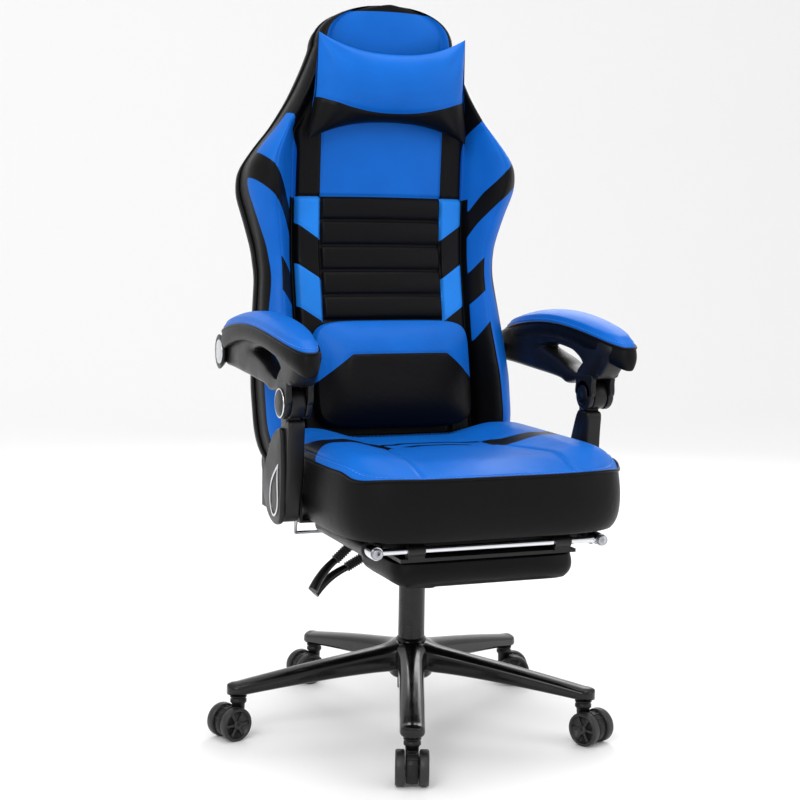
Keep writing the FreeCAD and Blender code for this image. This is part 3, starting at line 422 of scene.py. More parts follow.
def woven_elastic(name):
    """Woven elastic band: ribs 1.5 mm apart along its length, matt black polyester."""
    made, tree = blank_finish(name)
    place = node(tree, "TexCoord").outputs["Object"]
    ribs = node(tree, "TexWave", {"Vector": place, "Scale": 100.0}, bands_direction="Z")
    weft = node(tree, "TexWave", {"Vector": place, "Scale": 160.0}, bands_direction="X")
    height = node(tree, "Math", {0: ribs.outputs["Fac"], 1: weft.outputs["Fac"]}, operation="MULTIPLY")
    bump = node(tree, "Bump", {"Height": height.outputs[0], "Strength": 0.6, "Distance": 0.0005})
    shader = node(tree, "BsdfPrincipled", {"Base Color": linear("#17171a"), "Roughness": 0.85,
                                           "Normal": bump.outputs[0], "IOR": 1.45})
    finish_with(tree, shader)
    return made


BLUE, PALE_BLUE, BLACK = "#0b60bc", "#1f7cd8", "#070709"
two_tone = leatherette("two_tone_leatherette", BLUE, BLACK, PALE_BLUE)
black_leather = leatherette("black_leatherette", BLACK, roughness=0.38)
thread_blue = rubber("polyester_thread_blue", "#3f7fd8", 0.6)
base_paint = gloss_paint("base_enamel", "#08080a")
tube_paint = gloss_paint("gas_lift_enamel", "#0a0a0c", 0.22)
frame_paint = gloss_paint("frame_powder_coat", "#0e0e10", 0.38, 0.35)
arm_plastic = moulded_plastic("arm_moulded_nylon", "#121214", 0.36)
caster_plastic = moulded_plastic("caster_nylon", "#101012", 0.42)
tread = rubber("wheel_tread", "#131315", 0.45)
lever_plastic = moulded_plastic("lever_abs", "#0e0e10", 0.28, 0.1)
boot_rubber = rubber("boot_rubber", "#0c0c0e", 0.5)
chrome = bright_metal("chrome_plate", "#d6d8dc", 0.07)
steel = bright_metal("turned_steel", "#a8aab0", 0.24, 0.1)
dark_cap = moulded_plastic("cap_abs", "#0a0a0b", 0.3, 0.1)
plywood = birch_plywood("birch_plywood")
elastic = woven_elastic("woven_elastic")


# ------------------------------------------------------------------ the back's own directions

LEAN = math.radians(11.4)
BACK_FOOT = np.array([0.0, 117.0, 500.0])
UP_BACK = np.array([0.0, math.sin(LEAN), math.cos(LEAN)])
BEHIND = np.array([0.0, math.cos(LEAN), -math.sin(LEAN)])
BACK_TOP = 850.0
BOW_START = 380.0
BOW_DEPTH = 125.0
GROOVE = 178.0
SEAMS = (262, 310, 359, 407, 455, 500)


def bow(height):
    """How far the upper back curves forward: a power of the distance above its start."""
    share = np.clip((height - BOW_START) / (BACK_TOP - BOW_START), 0, None)
    return BOW_DEPTH * share ** 1.3


def on_back(across, behind, height, chord=None):
    """Points from sideways, rearward and upward distances along the back.

    They follow the back's bow, or with chord the straight line between two heights on it."""
    across, behind, height = np.broadcast_arrays(across, behind, height)
    if chord:
        low, high = chord
        behind = behind - bow(low) - (bow(high) - bow(low)) * (height - low) / (high - low)
    else:
        behind = behind - bow(height)
    return (BACK_FOOT + across[..., None] * np.array([1.0, 0.0, 0.0])
            + behind[..., None] * BEHIND + height[..., None] * UP_BACK)


def half_width(height):
    """The back's half width at each height: hips, waist, shoulders, neck and a round head."""
    places = [-30, 0, 30, 61, 143, 215, 281, 357, 408, 464, 512, 553, 592, 630, 680, 714, 746, 775, 800]
    widths = [212, 240, 251, 256, 258, 254, 248, 240, 245, 261, 277, 275, 248, 216, 184, 167, 153, 142, 134]
    wide = follow(np.minimum(height, 780), places, widths)
    dome = np.clip(1 - (np.clip(height - 778, 0, None) / (BACK_TOP - 778)) ** 2.4, 0, 1) ** 0.42
    return wide * dome


def wing_rise(height):
    """How far the side bolsters stand forward at each height."""
    return follow(height, [-30, 0, 60, 150, 250, 330, 400, 465, 510, 550, 590, 640, 690, 750, 800, 860],
                  [30, 48, 66, 62, 46, 38, 46, 68, 92, 94, 80, 58, 44, 30, 16, 4])


def crest_place(height, wide):
    """How far out the bolster's seam lies."""
    share = follow(height, [-30, 100, 250, 330, 465, 560, 700, 880],
                   [0.6, 0.58, 0.5, 0.5, 0.56, 0.6, 0.5, 0.4])
    return np.minimum(GROOVE, wide * 0.8) + (wide - np.minimum(GROOVE, wide * 0.8)) * share


def back_front():
    """The back's padded front, as one skin.

    Each row is a section: sideways it is the half width times a sine, and rearward it runs
    from the front profile to the rear plane along a superellipse, so its edges are rounded.
    The front profile is the centre's crown, the sewn channels, the bolsters and the grooves.
    """
    rows, cols, rear = 330, 260, 40.0
    turn = np.linspace(0, 1, rows)
    height = -24 + (BACK_TOP + 23.6) * (turn + 0.055 * np.sin(math.pi * turn) * turn)
    height = np.minimum(height, BACK_TOP - 0.4)
    wide = half_width(height)
    side = np.sin(np.linspace(-math.pi / 2, math.pi / 2, cols))
    side = 0.35 * side + 0.65 * np.linspace(-1, 1, cols)
    Z = np.repeat(height[:, None], cols, axis=1)
    X = np.abs(side)[None, :] * wide[:, None]
    W = np.repeat(wide[:, None], cols, axis=1)
    sign = np.sign(side)[None, :]
    groove = np.minimum(GROOVE, W * 0.8)
    crest = np.repeat(crest_place(height, wide)[:, None], cols, axis=1)
    rise = np.repeat(wing_rise(height)[:, None], cols, axis=1)
    out = np.where(X < crest, (X - groove) / (crest - groove), 1 + (X - crest) / (W - crest + 1e-6))

    front = -8 * np.cos(np.clip(X / groove, 0, 1) * math.pi / 2) + 4
    front = front - rise * ease(-0.05, 1.15, out) * (1 - 0.12 * ease(1.2, 2.0, out))
    front = front + 13 * ridge(X, groove, 7) * ease(-30, 60, Z) * (1 - ease(560, 690, Z))
    centre = ease(0, 6, 176 - X)
    for low, high in zip(SEAMS[:-1], SEAMS[1:]):
        share = np.clip((Z - low) / (high - low), 0, 1)
        front = front - 6.5 * np.sin(math.pi * share) ** 0.55 * ease(0, 4, 124 - X)
    front = front - 5 * ease(-5, 12, 500 - Z) * ease(0, 4, X - 126) * centre
    for seam in SEAMS:
        front = front + 3.2 * ridge(Z, seam, 2.6) * ease(-2, 2, (176 if seam == 500 else 124) - X)
    front = front + 3.4 * ridge(X, 125, 2.6) * (1 - ease(660, 700, Z))
    front = front + 2.6 * ridge(Z, 500, 3.0) * centre
    seam_out = follow(Z, [400, 500, 590, 628, 650, 676, 900], [172, 172, 171, 182, 202, 300, 400])
    front = front + 2.2 * ridge(X, seam_out, 2.6) * ease(500, 512, Z)
    front = front + 2.4 * ridge(out, 1.0, 0.035) * ease(-20, 20, Z) * (1 - ease(640, 690, Z))

    slant = 0.69 * (173 - X)
    pale = np.maximum(Z - (450 - slant), np.minimum(374 - slant - Z, Z - (290 - slant)))
    pale = np.minimum.reduce([pale, X - 125, 174 - X, 500 - Z])
    for line in (450, 374, 290):
        front = front + 1.5 * ridge(Z, line - slant, 2.4) * ease(0, 2, X - 126) * ease(0, 2, 174 - X)
    dark = np.minimum.reduce([186 - X, 500 - Z, -pale])
    inner = follow(Z, [400, 630, 680, 750, 775, 800, 900], [125, 125, 121, 112, 116, 300, 300])
    inner = np.minimum(inner, W - 15)
    dark = np.maximum(dark, np.minimum.reduce([X - inner, seam_out - X, Z - 500]))
    dark = np.maximum(dark, Z - (BACK_TOP - 13))
    upper = np.interp(out, [0, 0.5, 1, 2], [456, 507, 540, 574])
    lower = np.interp(out, [0, 0.5, 1, 2], [408, 450, 484, 528])
    dark = np.maximum(dark, np.minimum.reduce([0.75 * (upper - Z), 0.75 * (Z - lower), X - groove]))
    second = np.minimum.reduce([343 + 40 * out - Z, Z - 283 - 34 * out, X - groove, crest - X])
    dark = np.maximum(dark, second)
    bolster = np.minimum.reduce([206 + 49 * out - Z, crest - X, X - groove + 20])
    dark = np.maximum(dark, bolster)

    power = 5.0
    fall = (1 - np.abs(side) ** power) ** (1 / power)
    behind = rear - (rear - front) * fall[None, :]
    dark = np.maximum(dark, np.minimum(behind + 14, X - crest))
    points = on_back(sign * X, behind, Z)
    rear_count = 24
    back_side = np.linspace(1, -1, rear_count + 2)[1:-1]
    back_X = back_side[None, :] * wide[:, None]
    flat = on_back(back_X, np.full_like(back_X, rear), np.repeat(height[:, None], rear_count, axis=1))
    loops = np.concatenate([points, flat], axis=1)
    pad = np.full((rows, rear_count), -5.0)
    return rings(loops, dark=np.concatenate([dark, pad + 10], axis=1),
                 pale=np.concatenate([pale, pad], axis=1))


def back_shell():
    """The black upholstered rear: a section per height, flat in front and a soft bow behind."""
    rows, cols = 150, 120
    turn = np.linspace(0, 1, rows)
    height = -26 + (BACK_TOP + 28) * (turn + 0.055 * np.sin(math.pi * turn) * turn)
    height = np.minimum(height, BACK_TOP + 1.6)
    wide = half_width(np.clip(height, -30, BACK_TOP - 0.4)) + 1.5
    angle = np.linspace(0, 2 * math.pi, cols, endpoint=False)
    rise = np.sign(np.sin(angle)) * np.abs(np.sin(angle)) ** 0.45
    across = np.sign(np.cos(angle)) * np.abs(np.cos(angle)) ** np.where(rise > 0, 0.8, 0.4)
    ends = np.clip(np.minimum(height + 30, BACK_TOP + 4 - height) / 60, 0.02, 1) ** 0.5
    deep = 21 * ends[:, None] * np.where(rise > 0, 1, 0.9)[None, :]
    X = across[None, :] * wide[:, None]
    swell = 2 * np.cos(X / wide[:, None] * math.pi / 2) * np.where(rise > 0, 1, 0)[None, :]
    seam = 2.2 * ridge(np.abs(X), 0.78 * wide[:, None], 3) * np.where(rise > 0, 1, 0)[None, :]
    behind = 58 + rise[None, :] * deep + swell * ends[:, None] - seam
    return rings(on_back(X, behind, np.repeat(height[:, None], cols, axis=1)))


def edge_cord(offset, behind, radius, low, count=260):
    """Piping along both sides and over the top of the back, as a round cord on the outline."""
    height = low + (BACK_TOP - 0.5 - low) * np.sin(np.linspace(0, math.pi / 2, count))
    wide = half_width(height) + offset
    right = on_back(wide, np.full(count, behind), height)
    left = on_back(-wide[::-1], np.full(count, behind), height[::-1])
    return tube(np.concatenate([right, left[1:]]), radius, up=BEHIND, around=8)


def tube(path, radius, up=(0, 0, 1), around=12):
    """A round tube along given points, closed at its ends."""
    side, rise, _ = frames_along(np.asarray(path, float), up)
    angle = np.linspace(0, 2 * math.pi, around, endpoint=False)
    radius = np.broadcast_to(radius, (len(path),))
    return rings(path[:, None] + radius[:, None, None] * (
        np.cos(angle)[None, :, None] * side[:, None] + np.sin(angle)[None, :, None] * rise[:, None]))


def stitches(path, normals, pitch=7.0, length=4.4, thick=0.55):
    """Sewing thread: short six-sided capsules laid along a seam, each a few dozen faces."""
    path = np.asarray(path, float)
    gaps = np.linalg.norm(np.diff(path, axis=0), axis=1)
    far = np.concatenate([[0], np.cumsum(gaps)])
    starts = np.arange(pitch, far[-1] - pitch, pitch)
    shells = []
    profile = np.array([[0.3, -0.5], [1.0, -0.36], [1.0, 0.36], [0.3, 0.5]])
    angle = np.linspace(0, 2 * math.pi, 6, endpoint=False)
    for start in starts:
        ends = [np.array([np.interp(start + step, far, path[:, k]) for k in range(3)])
                for step in (0, length)]
        normal = np.array([np.interp(start, far, normals[:, k]) for k in range(3)])
        along = (ends[1] - ends[0]) / np.linalg.norm(ends[1] - ends[0])
        normal = normal - along * np.dot(normal, along)
        normal /= np.linalg.norm(normal)
        side = np.cross(along, normal)
        ring = np.cos(angle)[:, None] * side + 0.8 * np.sin(angle)[:, None] * normal
        middle = (ends[0] + ends[1]) / 2 + normal * 0.2
        shells.append(rings(middle + profile[:, 1, None, None] * length * along
                            + profile[:, 0, None, None] * thick * ring[None]))
    return shells


# ------------------------------------------------------------------ pads on a rounded outline

def pad_skin(centre, half, corner, crown, side, bottom, rows=(46, 22, 8), around=220, fields=None,
             onto=None, rear=None):
    """A pad drawn from its outline: rings from the middle of the top out to the edge, down the
    side and back to the middle underneath. The outline is a superellipse of the given corner
    power, or of rear's behind the middle; crown(x, y) is the top's height, side(turn) the
    sideways bulge, bottom(x, y) the underside's height."""
    top, flank, under = rows
    angle = np.linspace(0, 2 * math.pi, around, endpoint=False)
    power = 2 / np.where(np.sin(angle) > 0, rear or corner, corner)
    across = np.sign(np.cos(angle)) * np.abs(np.cos(angle)) ** power
    along = np.sign(np.sin(angle)) * np.abs(np.sin(angle)) ** power
    out = np.linspace(0.015, 1, top)
    out = 1 - (1 - out) ** 1.35
    X = centre[0] + half[0] * out[:, None] * across
    Y = centre[1] + half[1] * out[:, None] * along
    Z = crown(X, Y, out[:, None])
    down = np.linspace(0, 1, flank + 2)[1:]
    edge_x, edge_y, edge_z = X[-1], Y[-1], Z[-1]
    low = bottom(edge_x, edge_y)
    bulge = side(down)[:, None]
    normal_x, normal_y = across / half[0], along / half[1]
    size = np.hypot(normal_x, normal_y)
    side_x = edge_x + bulge * normal_x / size
    side_y = edge_y + bulge * normal_y / size
    side_z = edge_z + (low - edge_z) * down[:, None]
    inward = np.linspace(1, 0.02, under + 1)[1:, None]
    under_x = centre[0] + (side_x[-1] - centre[0]) * inward
    under_y = centre[1] + (side_y[-1] - centre[1]) * inward
    under_z = bottom(under_x, under_y)
    grid = np.stack([np.concatenate([X, side_x, under_x]), np.concatenate([Y, side_y, under_y]),
                     np.concatenate([Z, side_z, under_z])], axis=-1)
    place = np.concatenate([out, 1 + down, 2 + (1 - inward[:, 0])])[:, None] + 0 * across
    values = fields(grid[..., 0], grid[..., 1], grid[..., 2], place) if fields else {}
    if onto:
        grid = onto(grid)
    return rings(grid, **values), grid


def seat_seam(along):
    """How far out the seam between the seat's middle and its bolsters lies."""
    return 140 - 40 * ease(-310, -60, along)


def seat_crown(across, along, out):
    """The seat's top: a roll behind the front edge, two bolsters, a shallow dish and its seams."""
    X = np.abs(across)
    height = 537 + 14 * ease(-408, -300, along) - 9 * ease(-260, 20, along) * ease(150, 60, X)
    height = height + 15 * ease(110, 190, X) * ease(-404, -300, along)
    height = height - 8 * ease(20, 110, along)
    drop = 5 + 24 * ease(120, 240, X) * ease(-404, -330, along)
    height = height - drop * np.clip((out - 0.80) / 0.20, 0, 1) ** 2.4
    height = height - 3.2 * ridge(X, seat_seam(along), 3.2) * (1 - ease(0.975, 1, out))
    height = height - 2.0 * ridge(out, 0.955, 0.006)
    for stripe in (-88, -38):
        middle = stripe - 58 * ease(0, 135, X)
        for edge in (-1, 1):
            height = height - 0.9 * ridge(along, middle + edge * stripe_half(X), 2.5)
    return height


def stripe_half(X):
    """Half the width of the black stripes across the seat."""
    return 9 + 6 * ease(80, 160, X)


def seat_fields(X, Y, Z, place):
    """Where the seat is black: its sides, and two stripes that bend towards the back."""
    across = np.abs(X)
    dark = (place - 0.995) * 250
    for stripe in (-88, -38):
        middle = stripe - 58 * ease(0, 135, across)
        dark = np.maximum(dark, np.minimum(stripe_half(across) - np.abs(Y - middle), (1.5 - place) * 200))
    return {"dark": dark, "pale": np.full_like(X, -5.0)}


def seat():
    """The seat's padded box with its piping and its sewing threads."""
    skin, grid = pad_skin(
        (0, -144), (261, 257), 4.8, seat_crown, lambda turn: 5 * np.sin(math.pi * turn) - 9 * turn ** 9,
        lambda x, y: np.full_like(x, 429.0), rows=(90, 40, 10), around=330, fields=seat_fields,
        rear=12.0)
    edge = grid[89]
    loop = np.concatenate([edge, edge[:1]])
    outward_way = loop - np.array([0, -144, 0])
    outward_way[:, 2] = 0
    outward_way /= np.linalg.norm(outward_way, axis=1)[:, None]
    piping = tube(loop + np.array([0, 0, 0.6]) + outward_way * 0.6, 2.6, around=10)
    ring = grid[82]
    ring = np.concatenate([ring, ring[:1]]) + np.array([0, 0, 0.3])
    up = np.tile([0.0, 0.0, 1.0], (len(ring), 1))
    return skin, piping, stitches(ring, up, 8.0, 5.0, 0.6)


def wrinkled(X, Y, amount, seed):
    """Soft creases: a few waves of random direction and length, added up."""
    draw = np.random.default_rng(seed)
    total = np.zeros_like(X)
    for _ in range(7):
        way, length, shift = draw.uniform(0, math.pi), draw.uniform(28, 80), draw.uniform(0, 6.28)
        wave = np.sin((X * math.cos(way) + Y * math.sin(way)) * 2 * math.pi / length + shift)
        total = total + (1 - np.abs(wave)) ** 2
    return amount * (total / 7 - 0.35)


def lumbar():
    """The lumbar pillow: a firm rounded block, blue above a black panel with sloping shoulders."""
    foot, head = 52, 252

    def crown(x, z, out):
        swell = 1 - np.clip(np.abs(x) / 164, 0, 1) ** 4.2
        swell = swell * (1 - np.clip(np.abs(z - 148) / 118, 0, 1) ** 3.2)
        line = 186 - 43 * np.clip((np.abs(x) - 96) / 56, 0, 1)
        seam = 1.6 * ridge(z, line, 2.6)
        return 34 + 52 * swell - seam + wrinkled(x, z, 2.0, 5) * (1 - out)

    def fields(x, z, c, place):
        line = 186 - 43 * np.clip((np.abs(x) - 96) / 56, 0, 1.4)
        return {"dark": line - z, "pale": np.full_like(x, -5.0)}

    def onto(grid):
        return on_back(grid[..., 0], -grid[..., 2], grid[..., 1])

    return pad_skin((0, (foot + head) / 2), (156, (head - foot) / 2), 7.0, crown,
                    lambda turn: 4 * np.sin(math.pi * turn), lambda x, z: np.full_like(x, 5.0),
                    rows=(54, 18, 6), around=240, fields=fields, onto=onto)


def head_pillow():
    """The head pillow: four drawn-out corners and hollowed edges, filled like a bag.

    Each section, from end to end, is a lens: its height grows towards the ends as a power of
    the distance from the middle, and its thickness is a product of two rounded falls.
    """
    rows, cols = 150, 84
    u = np.sin(np.linspace(-math.pi / 2, math.pi / 2, rows)) * 0.5 + np.linspace(-1, 1, rows) * 0.5
    around = np.linspace(0, 2 * math.pi, 2 * cols, endpoint=False)
    v = np.cos(around)
    front = np.sin(around) >= 0
    U, V = np.meshgrid(u, v, indexing="ij")
    tall = 60 + 36 * np.abs(U) ** 2.4
    half = 149 + 13 * ease(0.0, -1.0, V)
    X = half * U
    B = tall * V
    thick = (1 - np.abs(U) ** 3.2) ** 0.62 * np.abs(np.sin(around))[None, :] ** 0.85
    line = -50 + 30 * (np.abs(X) / 150) ** 2.4
    folds = np.zeros_like(X)
    for side in (-1, 1):
        for level in (-1, 1):
            far = np.hypot(X - side * 150, B - level * 92)
            turn = np.arctan2(B - level * 92, X - side * 150)
            folds += 2.6 * np.sin(turn * 11 + side + 2 * level) * np.exp(-((far - 46) / 30) ** 2)
    deep = np.where(front[None, :], 44 * thick - 3.0 * ridge(B, line, 3.2) * thick ** 0.3 + folds * thick,
                    -27 * thick)
    points = on_back(X, -(30 + deep), 692 + B, chord=(600, 790))
    return rings(points, dark=np.where(front[None, :], line - B, 5.0), pale=np.full_like(X, -5.0))


def arm_pad(side):
    """One arm pad: an arched stadium, blue on top, with piping and a black skirt."""
    low, high = box("arm_pad_" + side)
    middle = ((low[0] + high[0]) / 2, (low[1] + high[1]) / 2)
    half = ((high[0] - low[0]) / 2 - 1, (high[1] - low[1]) / 2)

    def arch(y):
        return -44 * ((y + 30) / 250) ** 2

    def crown(x, y, out):
        share = np.clip(np.abs(x - middle[0]) / half[0], 0, 1)
        return 786 + arch(y) - 13 * share ** 2.4 - 12 * np.clip((out - 0.86) / 0.14, 0, 1) ** 2.2 \
            - 1.4 * ridge(out, 0.93, 0.012)

    def fields(x, y, z, place):
        return {"dark": (place - 0.99) * 60, "pale": np.full_like(x, -5.0)}

    skin, grid = pad_skin(middle, half, 2.7, crown,
                          lambda turn: 2.5 * np.sin(math.pi * turn) - 3 * turn ** 4,
                          lambda x, y: 734.5 + arch(y) + 0 * x, rows=(40, 16, 6), around=260, fields=fields)
    edge = np.concatenate([grid[39], grid[39][:1]])
    ring = np.concatenate([grid[36], grid[36][:1]]) + np.array([0, 0, 0.4])
    up = np.tile([0.0, 0.0, 1.0], (len(ring), 1))
    return skin, tube(edge, 2.2, around=10), stitches(ring, up, 7.0, 4.4, 0.55)


def footrest_pad():
    """The footrest's pad, hung upside down under the seat: a firm box, creased under its edge."""
    low, high = box("footrest_cushion")

    def crown(x, y, out):
        return high[2] - 1.0 + 0 * x - 3.0 * np.clip((out - 0.9) / 0.1, 0, 1) ** 2

    def bottom(x, y):
        share = np.maximum(np.abs(x) / 170, np.abs(y + 249) / 103)
        return low[2] + 10 * np.clip((share - 0.78) / 0.22, 0, 1) ** 2.2

    skin, _ = pad_skin(((low[0] + high[0]) / 2, (low[1] + high[1]) / 2),
                          ((high[0] - low[0]) / 2 - 3, (high[1] - low[1]) / 2 - 3), 6.5, crown,
                          lambda turn: 4.0 * np.sin(math.pi * turn) - 7 * turn ** 7, bottom,
                          rows=(20, 40, 26), around=300)
    return skin


# ------------------------------------------------------------------ base, casters and arms

def ringed(profile, centre, axis, around=72):
    """A ring with a hole: a closed profile of (radius, height) pairs turned about an axis."""
    axis = np.asarray(axis, float) / np.linalg.norm(axis)
    side = np.cross(axis, [0.0, 0.0, 1.0] if abs(axis[2]) < 0.9 else [1.0, 0.0, 0.0])
    side /= np.linalg.norm(side)
    other = np.cross(axis, side)
    angle = np.linspace(0, 2 * math.pi, around, endpoint=False)
    out = np.cos(angle)[:, None] * side + np.sin(angle)[:, None] * other
    profile = np.asarray(profile, float)
    points = (np.asarray(centre, float) + out[:, None] * profile[None, :, 0, None]
              + axis * profile[None, :, 1, None])
    return closed_loop(points)


def base_leg(angle):
    """One pressed leg: it arches down from the hub, flared into it, and ends in a round nose.

    Its top falls as the distance to the power 1.6; its section is a rounded square with a crest."""
    run = np.concatenate([np.linspace(27, 334, 60), 334 + 21 * np.sin(np.linspace(0.1, 0.5, 9) * math.pi)])
    share = np.clip(run / 334, 0, 1)
    nose = np.sqrt(np.clip(1 - (np.clip(run - 334, 0, None) / 21.3) ** 2, 0, 1))
    wide = (23.5 - 2 * share + 12 * np.exp(-(run - 27) / 20)) * nose
    top = 156 - 53 * share ** 1.25 + 8 * np.exp(-(run - 27) / 22) - 5 * (1 - nose)
    deep = 50 - 26 * share + 9 * np.exp(-(run - 27) / 30) - 7 * (1 - nose)
    across, rise = superellipse(0.6, 44)
    crest = np.where(rise > 0, 2.2 * ridge(across, 0, 0.5) - 2.2, 0)
    out = np.broadcast_to(run[:, None], (len(run), 44))
    side = wide[:, None] * across[None, :] * (1 + 0.07 * np.clip(-rise, 0, 1))[None, :]
    up = (top - deep / 2)[:, None] + (deep / 2)[:, None] * rise[None, :] + crest[None, :]
    turn = math.radians(angle)
    return rings(np.stack([out * math.cos(turn) - side * math.sin(turn),
                           out * math.sin(turn) + side * math.cos(turn), up], axis=-1))


def base_hub():
    """The hub's collar round the gas lift, with a rolled lip."""
    return ringed([(25.3, 92), (36, 92), (40, 96), (41, 112), (39, 134), (34, 150), (30, 160), (27.6, 165),
                   (25.3, 166)], (0, 0, 0), (0, 0, 1))


def caster_wheel(centre, axis, way):
    """A moulded wheel: rounded tread, dished face with six spokes, and a cap on its axle."""
    near, far = 12.3, 28.8
    outline = [(0, near), (27.5, near), (30.2, near + 1.2), (31, near + 3.4), (31, far - 3.4),
               (30.2, far - 1.1), (28.2, far), (25.6, far - 0.2), (24.6, far - 1.6), (23.6, far - 5.6),
               (0, far - 5.6)]
    shells = [turned([(radius, way * height) for radius, height in outline], centre, axis, around=56)]
    side = np.cross(axis, [0.0, 0.0, 1.0])
    for spoke in range(6):
        angle = spoke * math.pi / 3
        out = math.cos(angle) * side + math.sin(angle) * np.array([0.0, 0.0, 1.0])
        lift = axis * way * (far - 4.4)
        shells.append(bar([centre + lift + out * 5, centre + lift + out * 15, centre + lift + out * 24.6],
                          [6.4, 4.6, 7.0], [4.2, 4.2, 4.2], up=axis, power=0.35, count=8, around=12,
                          round_end=0))
    cap = [(0, far - 6), (8.6, far - 6), (8.6, far - 1.6), (7.4, far - 0.5), (0, far - 0.4)]
    shells.append(turned([(radius, way * height) for radius, height in cap], centre, axis, around=30))
    return shells


def caster_hood(stem, centre, axis):
    """The fork between a caster's wheels: a ribbed drum, a web up to the neck, and a collar."""
    shells = [turned([(0, -11.4), (24, -11.4), (27, -9.4), (27.6, 0), (27, 9.4), (24, 11.4), (0, 11.4)],
                     centre, axis, around=56)]
    foot = np.array([stem[0], stem[1], 0.0])
    for rib in range(7):
        angle = math.radians(25 + 22 * rib)
        out = (centre - foot) * [1, 1, 0]
        out = out / np.linalg.norm(out) * math.cos(angle) + np.array([0, 0, math.sin(angle)])
        at = centre + out * 27.6
        shells.append(bar([at - axis * 10, at, at + axis * 10], [2.2, 2.6, 2.2], [1.6, 2.0, 1.6], up=out,
                          count=8, around=10, round_end=0))
    shells.append(turned([(0, 40), (11, 40), (12, 62), (15, 65.5), (15, 70.5), (13.2, 72), (13.2, 74),
                          (15.4, 75), (15.4, 77), (13, 78.6), (0, 78.6)], foot, (0, 0, 1), around=40))
    return shells


def loop_through(knots, count=180):
    """A closed smooth curve through the knots, by Catmull and Rom's cubic."""
    knots = np.asarray(knots, float)
    total = len(knots)
    where = np.linspace(0, total, count, endpoint=False)
    span = where.astype(int)
    share = (where - span)[:, None]
    before, start, end, after = (knots[(span + step) % total] for step in (-1, 0, 1, 2))
    return 0.5 * (2 * start + (end - before) * share
                  + (2 * before - 5 * start + 4 * end - after) * share ** 2
                  + (3 * start - before - 3 * end + after) * share ** 3)


def hoop(outer, inner, low, high, power=0.42):
    """A moulding round a window: rounded sections from the inner outline to the outer one."""
    outer, inner = loop_through(outer), loop_through(inner)
    across, rise = superellipse(power, 28)
    middle, reach = (outer + inner) / 2, (outer - inner) / 2
    y = middle[:, 0, None] + reach[:, 0, None] * across
    z = middle[:, 1, None] + reach[:, 1, None] * across
    x = np.broadcast_to((low + high) / 2 + (high - low) / 2 * rise, y.shape)
    return closed_loop(np.stack([x, y, z], axis=-1))


def plate(outline, low, high, edge):
    """A plate with rounded edges: the outline moved inwards by edge times 1 - sin at each face."""
    outline = loop_through(outline)
    along = np.roll(outline, -1, axis=0) - np.roll(outline, 1, axis=0)
    along /= np.linalg.norm(along, axis=1)[:, None]
    inward = np.stack([-along[:, 1], along[:, 0]], axis=-1)
    if np.mean(np.sum(inward * (outline.mean(axis=0) - outline), axis=1)) < 0:
        inward = -inward
    turn = np.linspace(0, math.pi / 2, 6)
    steps = [(low + edge * (1 - math.sin(angle)), edge * (1 - math.cos(angle))) for angle in turn[::-1]]
    steps += [(high - edge * (1 - math.sin(angle)), edge * (1 - math.cos(angle))) for angle in turn]
    skin = []
    for x, inset in steps:
        ring = outline + inward * inset
        skin.append(np.concatenate([np.full((len(ring), 1), x), ring], axis=1))
    return rings(skin)


def disc(radius, low, high, y, z, edge=2.0):
    """A round boss lying across the chair, with a small round on each edge."""
    flat, bevel = radius - edge, radius - 0.3 * edge
    profile = [(0, low), (flat, low), (bevel, low + 0.3 * edge), (radius, low + edge),
               (radius, high - edge), (bevel, high - 0.3 * edge), (flat, high), (0, high)]
    return turned(profile, (0, y, z), (1, 0, 0), around=64)


